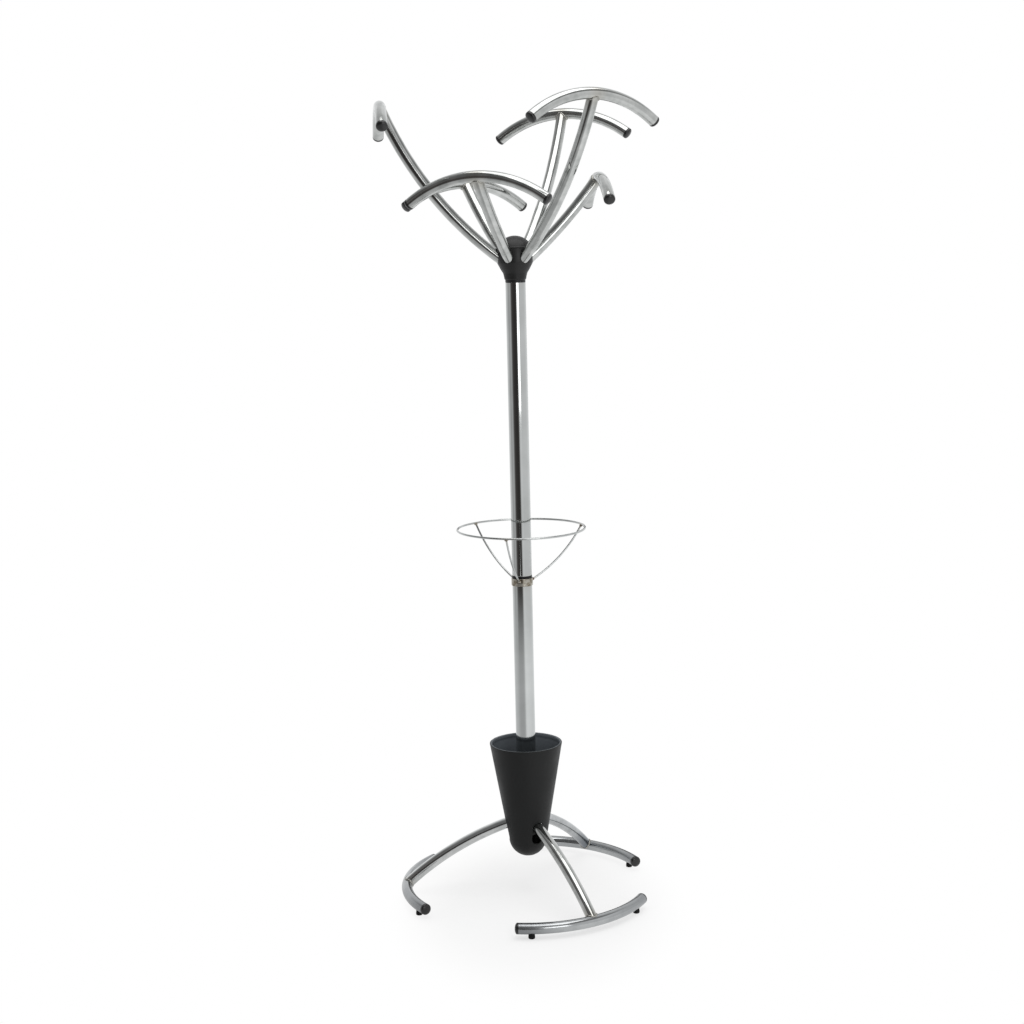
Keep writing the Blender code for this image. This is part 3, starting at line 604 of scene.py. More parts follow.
def brazeTree():
    # a lump of braze at each end of the ring's wires, no two alike
    tree, given = newTree("brazeLumps", {
        "Low Spot": (0.0, 0.0, 0.0), "High Spot": (0.0, 0.0, 0.0), "Low Size": (1.0, 1.0, 1.0),
        "High Size": (1.0, 1.0, 1.0), "Turn": 0.0, "Lumps": 0.3, "Lump Scale": 300.0, "Seed": 1.0, "Count": 3,
        "Material": "Material"})
    ball = addNode(tree, "GeometryNodeMeshIcoSphere", {"Radius": 1.0, "Subdivisions": 5}, "Mesh")
    index = addNode(tree, "GeometryNodeInputIndex")
    spot, size = [
        addNode(tree, mix, {0: index, 4: given["Low " + label], 5: given["High " + label]}, 1, data_type="VECTOR")
        for label in ("Spot", "Size")
    ]
    points = addNode(tree, "GeometryNodePoints", {"Count": 2, "Position": spot})
    pair = addNode(tree, onPoints, {"Points": points, "Instance": ball, "Scale": size})
    turn = addNode(tree, joinXYZ, {"Z": given["Turn"]})
    turned = addNode(tree, "GeometryNodeTransform", {"Geometry": pair, "Rotation": turn})
    real = addNode(tree, "GeometryNodeRealizeInstances", (aroundMast(tree, given, turned),))
    position = addNode(tree, "GeometryNodeInputPosition")
    lumps = addNode(tree, noise, {"Vector": position, "W": given["Seed"], "Scale": given["Lump Scale"],
                                  "Detail": 1.0}, noise_dimensions="4D")
    centred = addNode(tree, maths, (lumps, -0.5), operation="ADD")
    swell = addNode(tree, maths, (centred, given["Lumps"]), operation="MULTIPLY")
    outwards = addNode(tree, "GeometryNodeInputNormal")
    shift = addNode(tree, vectorMaths, {0: outwards, "Scale": swell}, operation="SCALE")
    return finishTree(tree, given, addNode(tree, setPosition, {"Geometry": real, "Offset": shift}))


def grow(name, tree, values):
    # runs a tree with these values and keeps what it makes as a plain mesh
    source = addObject(name, bpy.data.meshes.new(name))
    modifier = source.modifiers.new(tree.name, "NODES")
    modifier.node_group = tree
    sockets = {item.name: item for item in tree.interface.items_tree if item.in_out == "INPUT"}
    for label, value in values.items():
        if isinstance(value, Vector):
            value = list(value)
        elif sockets[label].socket_type == "NodeSocketFloat":
            value = float(value)
        modifier[sockets[label].identifier] = value
    bpy.context.view_layer.update()
    mesh = plainMesh(source, name)
    source.modifiers.clear()
    bpy.data.objects.remove(source)
    return mesh


bendPlace = bendPlaceTree()
bentTube, weldBead, barParts = bentTubeTree(), weldBeadTree(), barPartsTree()
bentWires, brazeLumps = bentWiresTree(), brazeTree()
print("geometry trees:", len(bpy.data.node_groups))


# what every tube shares
gap = 0.0003  # between pieces that touch, as in the CAD
tubes = {"radius": 0.01175, "wall": 0.0015, "sides": 56, "wearReach": 0.03, "relief": 0.004}
crossbars = {"bendRadius": 0.257, "halfAngle": 35.6, "stations": 49}
welds = {"radius": 0.0024, "sideShare": 0.5, "ripples": 34, "rippleHeight": 0.07, "points": 180, "wear": 0.7}
caps = {"length": 0.0085, "edge": 0.0035, "shankLength": 0.010, "shankPlay": 0.0016, "rounding": 0.0005,
        "domeSteps": 12, "sides": 56}


def placeOf(node):
    # a CAD node's radius about the mast's axis, and its lowest and highest points
    low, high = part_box(node)
    return high.x, low.z, high.z


def threeOf(word, ends=False):
    # the names of the CAD nodes that stand three times round the mast, or at both ends of three bars
    return [f"{word}_{number}{side}" for number in (1, 2, 3) for side in ("ab" if ends else [""])]


def capMesh():
    # a tube's plug with its shank, its flange and a low dome, along +Z from the tube's cut end
    radius, steps = tubes["radius"], caps["domeSteps"]
    shank = radius - tubes["wall"] - caps["shankPlay"]
    corners = [(0, -caps["shankLength"]), (shank, -caps["shankLength"]), (shank, gap), (radius, gap),
               (radius, caps["edge"])]
    angles = [math.pi / 2 * step / steps for step in range(1, steps)]
    crown = caps["length"] - caps["edge"]
    dome = [(radius * math.cos(a), caps["edge"] + crown * math.sin(a)) for a in angles] + [(0, caps["length"])]
    return turnedMesh("tubePlug", softened(corners, caps["rounding"])[:-1] + [corners[-1]] + dome, caps["sides"])


plug = bpy.data.objects.new("tubePlug", capMesh())
markWearAndPaintedLight(plug.data)


def addGrown(name, tree, values, body, slotName, nodes=(), **wear):
    # a piece that a tree makes
    mesh = grow(name, tree, values)
    if wear:
        markWearAndPaintedLight(mesh, **wear)
    return addPiece(name, mesh, values["Material"], body, nodes)


def addTube(name, bend, turn, body, node, stations, coped=False, plate=tubeChrome, wearReach=tubes["wearReach"]):
    # a coped tube is welded at its end, and a bar at its middle
    values = {**bend, "Turn": turn, "Cope Radius": tubes["radius"] + gap if coped else 0.0,
              "Cope Relief": tubes["relief"] if coped else 0.0, "Tube Radius": tubes["radius"],
              "Wall": tubes["wall"], "Sides": tubes["sides"], "Stations": stations,
              "Weld Share": 1.0 if coped else 0.5, "Wear Reach": wearReach, "Material": plate}
    return addGrown(name, bentTube, values, body, "tube_chrome", [node])


def addCaps(name, bar, turn, body, nodes):
    values = {**bar, "Turn": turn, "Part": plug, "Count": 3, "Material": capPlastic}
    addGrown(name, barParts, values, body, "cap_plastic", nodes)


def addWelds(name, bend, turn, body, seed):
    values = {**bend, "Turn": turn, "Cope Radius": tubes["radius"] + gap, "Cope Relief": tubes["relief"],
              "Tube Radius": tubes["radius"], "Bead Radius": welds["radius"], "Side Share": welds["sideShare"],
              "Ripple Count": welds["ripples"], "Ripple Height": welds["rippleHeight"], "Seed": seed,
              "Points": welds["points"], "Count": 3, "Material": weldChrome}
    addGrown(name, weldBead, values, body, "tube_chrome", wearAt=lambda point: welds["wear"], straight=True)


def startRadius(count, web):
    # how far out tubes start when count of them stand round the mast
    return (tubes["radius"] + gap + web / 2) / math.sin(math.pi / count)


# base: legs, foot bars and glides
# the first leg's darker plate, painted shade, reaches 0.10 m back from its weld; the second's brighter plate is a
# painted highlight
legs = {"firstTurn": 60.0, "bendRadius": 0.650, "startSlope": 17.1, "endSlope": 42.9, "web": 0.0036, "stations": 44,
        "plates": (legChromePaintedDarker, legChromePaintedBrighter, tubeChrome), "wearAndShadeReaches": (0.10, 0.03, 0.03)}
# how much painted shade and haze a foot bar takes, at its middle and at its ends
footBarEndShading = {"middle": 0.15, "end": 1.0}
glides = {"radius": 0.0070, "height": 0.0092, "chamfer": 0.0012, "toe": 0.001, "waist": 0.0006, "rounding": 0.0007,
          "waistLow": 0.55, "waistHigh": 0.7, "crown": (0.85, 0.7, 0.55, 0.4, 0.25, 0.12), "inset": 0.026,
          "scuff": 0.4, "scuffHeight": 0.002, "sides": 40}
floorLevel = cadLow.z

footAxis = glides["height"] + tubes["radius"]
legDrop = legs["bendRadius"] * (
    math.cos(math.radians(legs["startSlope"])) - math.cos(math.radians(legs["endSlope"])))
legBend = bendFrom(Vector((startRadius(3, legs["web"]), 0, floorLevel + footAxis + legDrop)),
                   legs["bendRadius"], legs["startSlope"], legs["endSlope"], rising=False)
footBar = crossbarOn(legBend, axisX)


def glideMesh():
    # a moulded foot with rounded edges, whose top is hollowed to sit under the bar along its Y axis
    side, barRoom = glides["radius"], tubes["radius"] + gap
    top = footAxis - math.sqrt(barRoom**2 - side**2)
    waist = side - glides["waist"]
    corners = [(0, 0), (side - glides["toe"], 0), (side, glides["chamfer"]), (side, top * glides["waistLow"]),
               (waist, top * glides["waistHigh"]), (waist, top)]
    crown = [(side * share, top) for share in glides["crown"]] + [(0, top)]
    mesh = turnedMesh("glide", softened(corners, glides["rounding"]) + crown, glides["sides"])
    for vertex in mesh.vertices:
        if vertex.co.z > top - hair:
            vertex.co.z = footAxis - math.sqrt(barRoom**2 - vertex.co.x**2)
    return mesh


def shadeAndHazeBarEnds(bar):
    # a foot bar is painted darker towards its ends, painted shade for darker reflections there, and grows hazier with
    # it
    halfLength = footBar["Bend Radius"] * math.sin(footBar["End Angle"])
    middle = sum((vertex.co for vertex in bar.data.vertices), Vector()) / len(bar.data.vertices)
    outness = [min(1.0, (vertex.co - middle).length / halfLength) for vertex in bar.data.vertices]
    more = footBarEndShading["end"] - footBarEndShading["middle"]
    bar.data.attributes["wear"].data.foreach_set("value", [footBarEndShading["middle"] + more * out**2 for out in outness])


glide = bpy.data.objects.new("glide", glideMesh())
markWearAndPaintedLight(glide.data, lambda point: glides["scuff"] * fading(point.z, glides["scuffHeight"]))
for index in range(3):
    number, turn = index + 1, math.radians(legs["firstTurn"] + 120 * index)
    addTube(f"leg{number}", legBend, turn, "base", f"leg_{number}", legs["stations"], coped=True,
            plate=legs["plates"][index], wearReach=legs["wearAndShadeReaches"][index])
    shadeAndHazeBarEnds(addTube(f"footBar{number}", footBar, turn, "base", f"foot_bar_{number}", crossbars["stations"],
                      plate=footBarChromePaintedDarker))
firstLeg = math.radians(legs["firstTurn"])
addCaps("footBarCaps", footBar, firstLeg, "base", threeOf("foot_bar_cap", ends=True))
addWelds("legWelds", legBend, firstLeg, "base", seed=3.0)
glideValues = {**footBar, "Turn": firstLeg, "Part": glide, "Inset": glides["inset"], "Upright": 1.0, "Count": 3,
               "Material": glideRubber}
addGrown("floorGlides", barParts, glideValues, "base", "glide_rubber", threeOf("glide", ends=True))
print("base: legs, foot bars, plugs, welds and glides")

# base: drip cup
# the pale lip is rubbed wear and a painted highlight, and the lighter inner wall is dust and a painted reflection
cup = {"ballRadius": 0.041, "wall": 0.0030, "lipWidth": 0.0046, "lipHeight": 0.0050, "rounding": 0.0013,
       "drop": 0.0831, "ballSteps": 18, "sideSteps": 22, "sides": 128, "slotPlay": 0.00125, "slotLow": 0.0355,
       "slotEdge": 0.0007, "slotSteps": 24, "lipWearAndPaintedHighlight": 0.9, "paleLipDepth": 0.0009, "paleLipInset": 0.0014,
       "innerDustAndPaintedLight": 0.72}
rimRadius, cupLow, cupHigh = placeOf("drip_cup")
cupHeight = cupHigh - cupLow
sideDrop = cupHeight - cup["ballRadius"]
cupSlope = math.atan2(rimRadius, sideDrop) - math.asin(cup["ballRadius"] / math.hypot(rimRadius, sideDrop))


def cupRadiusAt(height, inset=0.0):
    # the straight side's radius at a height above the cup's lowest point, or that of a surface inset from it
    return rimRadius - (cupHeight - height) * math.tan(cupSlope) - inset / math.cos(cupSlope)


def cupBlank():
    # a ball at the foot, a straight side up to a thick lip, and the same shape inside
    ball, steps, sideSteps = cup["ballRadius"], cup["ballSteps"], cup["sideSteps"]
    innerBall = ball - cup["wall"]
    lipLow = cupHeight - cup["lipHeight"]
    angles = [(math.pi / 2 - cupSlope) * step / steps for step in range(steps + 1)]
    outside = [(ball * math.sin(a), ball * (1 - math.cos(a))) for a in angles]
    footRadius, footHeight = outside[-1]
    outside += [
        (footRadius + (rimRadius - footRadius) * s / sideSteps, footHeight + (cupHeight - footHeight) * s / sideSteps)
        for s in range(1, sideSteps)
    ]
    rim = [(rimRadius, cupHeight), (rimRadius - cup["lipWidth"], cupHeight),
           (cupRadiusAt(lipLow, cup["lipWidth"]), lipLow),
           (cupRadiusAt(lipLow - cup["lipWidth"], cup["wall"]), lipLow - cup["lipWidth"])]
    inside = [(innerBall * math.sin(a), ball - innerBall * math.cos(a)) for a in reversed(angles)]
    rounded = softened([outside[-1], *rim, inside[0]], cup["rounding"], steps=5)
    return turnedMesh("dripCup", outside[:-1] + rounded + inside[1:], cup["sides"])


def slotCutter(low, high, inner, outer, turn):
    # an upright slot with round ends, through the wall on one side of the cup
    half, steps = tubes["radius"] + cup["slotPlay"], cup["slotSteps"]
    shape = bmesh.new()
    outline = []
    for middle, first in ((high - half, 0), (low + half, math.pi)):
        for step in range(steps + 1):
            angle = first + math.pi * step / steps
            outline.append((inner, half * math.cos(angle), middle + half * math.sin(angle)))
    face = shape.faces.new([shape.verts.new(corner) for corner in outline])
    grown = bmesh.ops.extrude_face_region(shape, geom=[face])["geom"]
    far = [item for item in grown if isinstance(item, bmesh.types.BMVert)]
    bmesh.ops.translate(shape, verts=far, vec=(outer - inner) * axisX)
    bmesh.ops.rotate(shape, verts=shape.verts, cent=(0, 0, 0), matrix=Matrix.Rotation(turn, 3, "Z"))
    return meshFrom(shape, "slotCutter")


def cupWearAndPaintedLight(point):
    # the lip's inner edge is painted pale, rubbed wear with a painted highlight, and the inner wall is painted
    # lighter, dust with a painted reflection of the pale studio
    radius, height = math.hypot(point.x, point.y), point.z - cupLow
    if cupHigh - point.z < cup["paleLipDepth"] and rimRadius - radius > cup["paleLipInset"]:
        return cup["lipWearAndPaintedHighlight"]
    inner = radius < cupRadiusAt(height, cup["wall"] / 2) and height > cup["ballRadius"]
    return cup["innerDustAndPaintedLight"] if inner else 0.0


cupMesh = cupBlank()
cupMesh.transform(Matrix.Translation(cupLow * axisZ))
legOut = math.asin((cupRadiusAt(cup["drop"], cup["wall"]) - legBend["Centre"].x) / legs["bendRadius"])
slotTop = bendPoint(legBend, legOut).z + tubes["radius"] / math.cos(legOut) + gap
slotInner = cupRadiusAt(cup["slotLow"], 2 * cup["wall"])
slots = [
    slotCutter(cupLow + cup["slotLow"], slotTop, slotInner, rimRadius, math.radians(legs["firstTurn"] + 120 * index))
    for index in range(3)
]
cupMesh = cutMesh("dripCup", cupMesh, slots, cup["slotEdge"])
markWearAndPaintedLight(cupMesh, cupWearAndPaintedLight)
addPiece("dripCup", cupMesh, cupPlastic, "base", ["drip_cup"])
for node, material in (("leg_hub", castIron), ("mast_spigot", zincSteel)):
    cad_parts[node].data.materials.clear()
    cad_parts[node].data.materials.append(material)
print("base: drip cup with its leg slots")

# the mast, its bush and the ring's collar
mast = {"wall": 0.0015, "edge": 0.0004, "sides": 128, "spacing": 0.02, "endRows": 4, "endWear": 0.5,
        "wearReach": 0.02}
bush = {"edge": 0.0006}
collar = {"edge": 0.0013, "sides": 128, "play": 0.0004, "grooveDepth": 0.0003, "groove": (0.42, 0.5, 0.58),
          "shoulder": 0.5, "rustReaches": (0.016, 0.007, 0.009)}


def pipeMesh(name, inner, outer, low, high, edge):
    # an upright tube, with two more rows that keep its rounded ends from bending the light on the plain length
    count = max(1, round((high - low) / mast["spacing"]))
    side = [(outer, low + (high - low) * step / count) for step in range(1, count)]
    back = mast["endRows"] * edge
    side = [(outer, low + back), *side, (outer, high - back)]
    outline = softened([(inner, high), (inner, low), (outer, low), *side, (outer, high)], edge, closed=True)
    return turnedMesh(name, outline, mast["sides"])


def mastWear(point):
    return mast["endWear"] * fading(min(abs(point.z - end) for end in ends), mast["wearReach"])


for name, node, body in (("lowerMast", "lower_mast", "base"), ("upperMast", "upper_mast", "head")):
    mastRadius, *ends = placeOf(node)
    mesh = pipeMesh(name, mastRadius - mast["wall"], mastRadius, *ends, mast["edge"])
    markWearAndPaintedLight(mesh, mastWear, straight=True)
    addPiece(name, mesh, mastChrome, body, [node])

bushRadius, bushLow, bushHigh = placeOf("mast_bush")
spigotRadius = placeOf("mast_spigot")[0]
mesh = pipeMesh("mastBush", spigotRadius + gap, bushRadius, bushLow, bushHigh, bush["edge"])
markWearAndPaintedLight(mesh)
addPiece("mastBush", mesh, bushPlastic, "base", ["mast_bush"])

collarRadius, collarLow, collarHigh = placeOf("ring_collar")
third = (collarHigh - collarLow) / 3
grooveLow, grooveMiddle, grooveHigh = (collarLow + third * share for share in collar["groove"])
bore = spigotRadius + collar["play"]
corners = [(bore, collarHigh), (bore, collarLow), (collarRadius, collarLow), (collarRadius, grooveLow),
           (collarRadius - collar["grooveDepth"], grooveMiddle), (collarRadius, grooveHigh),
           (collarRadius, collarHigh - third * collar["shoulder"]), (collarRadius, collarHigh)]
collarMesh = turnedMesh("ringCollar", softened(corners, collar["edge"], closed=True), collar["sides"])
print("mast: tubes, bush and collar")

# umbrella ring on its three wires
ringWire = {"sides": 22, "stations": 180, "strutRadius": 0.0021, "rootRise": 0.0115, "endSlope": 60.0,
            "firstTurn": 17.4, "strutStations": 40, "wearReach": 0.02, "lift": 0.0004, "liftPhase": 0.6,
            "outOfRound": 0.0003}
brazing = {"rootSize": (0.0030, 0.0036, 0.0030), "tipSize": (0.0030, 0.0042, 0.0030), "lumps": 0.0022, "seed": 7.0,
           "rustReach": 0.012, "rusted": 1.0, "plain": 0.57}
ringLow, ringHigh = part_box("umbrella_ring")
ringWireRadius = (ringHigh.z - ringLow.z) / 2
ringRadius = ringHigh.x - ringWireRadius
ringLevel = (ringHigh.z + ringLow.z) / 2


def strutBend():
    # from the collar's side to just under the ring's wire, as the CAD settles it
    end = math.radians(ringWire["endSlope"])
    tip = ringRadius * axisX + ringLevel * axisZ
    tip -= (ringWireRadius + 2 * gap) * (math.cos(end) * axisX + math.sin(end) * axisZ)
    start = 0.0
    for _ in range(3):
        standOff = collarRadius + gap + ringWire["strutRadius"] * math.sin(start)
        root = standOff * axisX + (collarLow + ringWire["rootRise"]) * axisZ
        chord = tip - root
        halfTurn = end - math.atan2(chord.z, chord.x)
        start = end - 2 * halfTurn
    radius = chord.length / (2 * math.sin(halfTurn))
    return root, tip, bendFrom(root, radius, math.degrees(start), ringWire["endSlope"], rising=True)


strutRoot, strutTip, strut = strutBend()
strutTurn = math.radians(ringWire["firstTurn"])
thirdTurns = [Matrix.Rotation(strutTurn + math.tau / 3 * index, 3, "Z") for index in range(3)]
rootSpots = [turn @ strutRoot for turn in thirdTurns]
tipSpots = [turn @ strutTip for turn in thirdTurns]


def collarWear(point):
    # heat and rust round the brazed roots, most of all at the first one
    return max(fading((point - spot).length, reach) for spot, reach in zip(rootSpots, collar["rustReaches"]))


def wireWear(point):
    return max(fading((point - spot).length, ringWire["wearReach"]) for spot in tipSpots + rootSpots)


def brazeWear(point):
    return brazing["rusted"] if (point - rootSpots[0]).length < brazing["rustReach"] else brazing["plain"]


def ringMesh():
    # the closed ring of wire, a shade out of true as hand-rolled wire is
    shape = bmesh.new()
    sides, stations = ringWire["sides"], ringWire["stations"]
    loops = []
    for station in range(stations):
        turn = math.tau * station / stations
        middle = ringRadius + ringWire["outOfRound"] * math.sin(3 * turn)
        level = ringLevel + ringWire["lift"] * math.sin(2 * turn + ringWire["liftPhase"])
        loop = []
        for side in range(sides):
            angle = math.tau * side / sides
            radius = middle + ringWireRadius * math.cos(angle)
            height = level + ringWireRadius * math.sin(angle)
            loop.append(shape.verts.new((radius * math.cos(turn), radius * math.sin(turn), height)))
        loops.append(loop)
    for loop, after in zip(loops, loops[1:] + loops[:1]):
        for side in range(sides):
            beside = (side + 1) % sides
            shape.faces.new((loop[side], loop[beside], after[beside], after[side]))
    return meshFrom(shape, "umbrellaRing")


markWearAndPaintedLight(collarMesh, collarWear)
addPiece("ringCollar", collarMesh, collarPlating, "umbrella_ring", ["ring_collar"])
mesh = ringMesh()
markWearAndPaintedLight(mesh, wireWear, straight=True)
addPiece("umbrellaRing", mesh, wireChrome, "umbrella_ring", ["umbrella_ring"])
strutValues = {**strut, "Turn": strutTurn, "Wire Radius": ringWire["strutRadius"], "Sides": ringWire["sides"],
               "Stations": ringWire["strutStations"], "Count": 3, "Material": wireChrome}
addGrown("ringStruts", bentWires, strutValues, "umbrella_ring", "wire_chrome", threeOf("ring_strut"),
         wearAt=wireWear, straight=True)
brazeValues = {"Low Spot": strutRoot, "High Spot": strutTip, "Low Size": Vector(brazing["rootSize"]),
               "High Size": Vector(brazing["tipSize"]), "Turn": strutTurn, "Lumps": brazing["lumps"],
               "Seed": brazing["seed"], "Count": 3, "Material": collarPlating}
addGrown("ringBrazes", brazeLumps, brazeValues, "umbrella_ring", "worn_plating", wearAt=brazeWear)
print("umbrella ring: collar, ring, wires and brazes")

# head: arms, crossbars, hub and cap
arms = {"firstTurn": 6.5, "web": 0.0014, "startRise": 0.0460,
        "low": {"bendRadius": 1.0626, "startSlope": 41.5, "endSlope": 53.6, "stations": 34, "weldSeed": 11.0},
        "high": {"bendRadius": 0.7500, "startSlope": 36.6, "endSlope": 67.5, "stations": 52, "weldSeed": 12.0}}
hub = {"spigotLength": 0.045, "boreRadius": 0.0143, "boreDepth": 0.034, "edge": 0.0012, "cutEdge": 0.0005,
       "neck": ((0.0001, 0.0), (0.0001, 0.0055), (0.0018, 0.0070), (0.0023, 0.0110), (0.0042, 0.0190)),
       "flare": ((0.583, 0.0280), (0.964, 0.0400)), "flareEnd": 0.004, "shoulder": 0.014, "sides": 128,
       "roomBack": 0.001, "roomLength": 0.10, "roomStations": 16}
hubCap = {"wall": 0.0025, "plugLength": 0.012, "lip": 0.0011, "lipHeight": 0.0012, "edge": 0.0009, "domeSteps": 20,
          "sides": 128}
hubRadius, hubLow, hubTop = placeOf("arm_hub")
hubBase = hubLow + hub["spigotLength"]
domeRadius, capLow, domeTop = placeOf("hub_cap")
capBase = capLow + hubCap["plugLength"]
startPoint = startRadius(6, arms["web"]) * axisX + (hubBase + arms["startRise"]) * axisZ
armBends = {
    kind: bendFrom(startPoint, arms[kind]["bendRadius"], arms[kind]["startSlope"], arms[kind]["endSlope"], rising=True)
    for kind in ("low", "high")
}
# low and high arms by turns round the mast
armPlaces = [(("low", "high")[index % 2], index // 2 + 1, math.radians(arms["firstTurn"] + 60 * index))
             for index in range(6)]
for kind, number, turn in armPlaces:
    bend = armBends[kind]
    addTube(f"{kind}Arm{number}", bend, turn, "head", f"{kind}_arm_{number}", arms[kind]["stations"], coped=True)
    addTube(f"{kind}Bar{number}", crossbarOn(bend, axisZ), turn, "head", f"{kind}_bar_{number}",
            crossbars["stations"])
for kind, number, turn in armPlaces[:2]:
    addCaps(f"{kind}BarCaps", crossbarOn(armBends[kind], axisZ), turn, "head", threeOf(f"{kind}_bar_cap", ends=True))
    addWelds(f"{kind}ArmWelds", armBends[kind], turn, "head", arms[kind]["weldSeed"])
print("head: arms, crossbars, plugs and welds")


def armRoom(kind, turn):
    # the rod that an arm's socket is cut with
    bend = dict(armBends[kind])
    bend["Start Angle"] -= hub["roomBack"] / bend["Bend Radius"]
    bend["End Angle"] = bend["Start Angle"] + hub["roomLength"] / bend["Bend Radius"]
    values = {**bend, "Turn": turn, "Wire Radius": tubes["radius"] + gap, "Sides": tubes["sides"],
              "Stations": hub["roomStations"], "Count": 1, "Material": hubPlastic}
    return grow("armRoom", bentWires, values)


def addCut(name, node, corners, edge, sides):
    # a turned piece of the hub, less the room for the six arms
    blank = turnedMesh(name, softened(corners, edge), sides)
    mesh = cutMesh(name, blank, [room.copy() for room in rooms], hub["cutEdge"])
    markWearAndPaintedLight(mesh)
    addPiece(name, mesh, hubPlastic, "head", [node])


rooms = [armRoom(kind, turn) for kind, number, turn in armPlaces]
spread = hubRadius - mastRadius
hubPlug = mastRadius - mast["wall"] - gap
boreFoot = hubTop - hub["boreDepth"]
hubCorners = [(0, hubLow), (hubPlug, hubLow), (hubPlug, hubBase)]
hubCorners += [(mastRadius + proud, hubBase + height) for proud, height in hub["neck"]]
hubCorners += [(mastRadius + share * spread, hubBase + height) for share, height in hub["flare"]]
hubCorners += [(hubRadius, hubBase + hub["flare"][-1][1] + hub["flareEnd"]), (hubRadius, hubTop - hub["shoulder"]),
               (hubRadius, hubTop), (hub["boreRadius"], hubTop), (hub["boreRadius"], boreFoot), (0, boreFoot)]
addCut("armHub", "arm_hub", hubCorners, hub["edge"], hub["sides"])

domeRise = domeTop - capBase
ball = (domeRadius**2 + domeRise**2) / (2 * domeRise)
ballCentre = domeTop - ball
innerBall = ball - hubCap["wall"]
halfDome = math.asin((domeRadius - hubCap["lip"]) / ball)
angles = [halfDome * step / hubCap["domeSteps"] for step in range(hubCap["domeSteps"] + 1)]
innerEdge = math.sqrt(innerBall**2 - (capBase - ballCentre) ** 2)
plugSide = hub["boreRadius"] - gap
plugInside = plugSide - hubCap["wall"]


def ceiling(radius):
    # a corner on the cap's inner ball
    return radius, ballCentre + math.sqrt(innerBall**2 - radius**2)


capCorners = [(ball * math.sin(a), ballCentre + ball * math.cos(a)) for a in angles]
capCorners += [(domeRadius, capBase + hubCap["lipHeight"]), (domeRadius, capBase), (innerEdge, capBase),
               ceiling((innerEdge + plugSide) / 2), ceiling(plugSide), (plugSide, capLow), (plugInside, capLow),
               ceiling(plugInside), ceiling(0)]
addCut("hubCap", "hub_cap", capCorners, hubCap["edge"], hubCap["sides"])
for leftover in (plug, glide):
    bpy.data.objects.remove(leftover)
print("head: hub and domed cap")

# studio: pale floor, white surround, reflected walls, lamps, camera
studio = {"ambient": 0.70, "white": "#ffffff", "floorColour": "#f0f0f0", "floorHalf": 30.0, "brightest": 1.25,
          "cool": "#fdfeff", "warm": "#fff6f3", "darkest": 0.15,
          "paintedShadowWhite": 0.60, "shadeEdge": (0.55, 1.15), "shadeMiddle": (0.02, -0.10), "shadeReach": (0.29, 0.44),
          "mirroredWhite": 0.5, "mirroredReach": (0.2, 0.8), "nearFloorReach": (1.8, 3.7)}
# the chrome sees four bands of wall, one above the other, that pass into each other between these levels
walls = {"radius": 5.5, "toLow": (0.36, 0.46), "toHigh": (0.66, 0.72), "toCrown": (0.88, 0.96), "crown": 0.45,
         "steps": 18, "sides": 96}
# how bright the chrome sees the studio, by degrees round from the camera: positive is to its right
horizon = {-180: 1.0, -144: 0.97, -120: 0.86, -104: 0.68, -92: 0.52, -76: 0.64, -68: 0.58, -60: 0.33, -53: 0.12,
           -42: 0.07, -20: 0.05, -4: 0.05, 3: 0.12, 8: 0.45, 13: 0.86, 24: 0.95, 40: 0.88, 100: 0.90, 130: 1.0,
           164: 1.0, 168: 0.16, 176: 0.08, 180: 0.08}
lowWalls = {-180: 0.8, -150: 0.95, -135: 0.75, -120: 0.45, -90: 0.18, -75: 0.13, -45: 0.18, -15: 0.18, 0: 0.4,
            15: 0.5, 30: 0.6, 45: 0.8, 60: 1.0, 90: 0.95, 120: 0.8, 135: 0.95, 180: 1.0}
highWalls = {-180: 0.9, -150: 0.75, -135: 0.65, -120: 0.45, -90: 0.3, -75: 0.22, -60: 0.18, 0: 0.2, 20: 0.45,
             36: 0.4, 50: 0.3, 100: 0.34, 112: 0.5, 135: 0.85, 180: 1.0}
nearFloor = {-180: 1.05, -144: 1.0, -120: 0.86, -90: 0.8, -70: 0.68, -50: 0.6, -15: 0.6, 0: 0.68, 8: 0.9, 16: 1.12,
             30: 1.18, 60: 1.12, 100: 1.05, 180: 1.05}


def newStage(name):
    # a material that isn't sampled as a lamp, its empty tree, and where a spot lies: its place and height, and its
    # share of the way round, where 0.5 is towards the camera and more is to its right
    material = bpy.data.materials.new(name)
    material.use_nodes = True
    material.cycles.emission_sampling = "NONE"
    tree = material.node_tree
    tree.nodes.clear()
    place = addNode(tree, "ShaderNodeTexCoord", output="Object")
    parts = addNode(tree, splitXYZ, (place,)).node.outputs
    towards = addNode(tree, maths, (parts["Y"], -1.0), operation="MULTIPLY")
    angle = addNode(tree, maths, (parts["X"], towards), operation="ARCTAN2")
    share = addNode(tree, maths, (angle, 1 / math.tau, 0.5), operation="MULTIPLY_ADD")
    return material, tree, place, parts["Z"], share


def seenRays(tree):
    # 1 for camera, glossy and transmission rays, and 1 for glossy rays alone
    path = addNode(tree, "ShaderNodeLightPath").node.outputs
    seen = addNode(tree, maths, (path["Is Camera Ray"], path["Is Glossy Ray"]), operation="MAXIMUM")
    return addNode(tree, maths, (seen, path["Is Transmission Ray"]), operation="MAXIMUM"), path["Is Glossy Ray"]


def brightnessRamp(tree, share, stops):
    # greys by degrees round, a little warm where dark and cool where bright
    node = addNode(tree, "ShaderNodeValToRGB", (share,)).node
    ramp = node.color_ramp
    ramp.elements.remove(ramp.elements[1])
    for index, (degrees, brightness) in enumerate(stops.items()):
        element = ramp.elements.new((degrees + 180) / 360) if index else ramp.elements[0]
        tint = linearColour(studio["warm"] if brightness < studio["darkest"] else studio["cool"])
        element.color = (*[brightness / studio["brightest"] * part for part in tint[:3]], 1.0)
    return node.outputs[0]


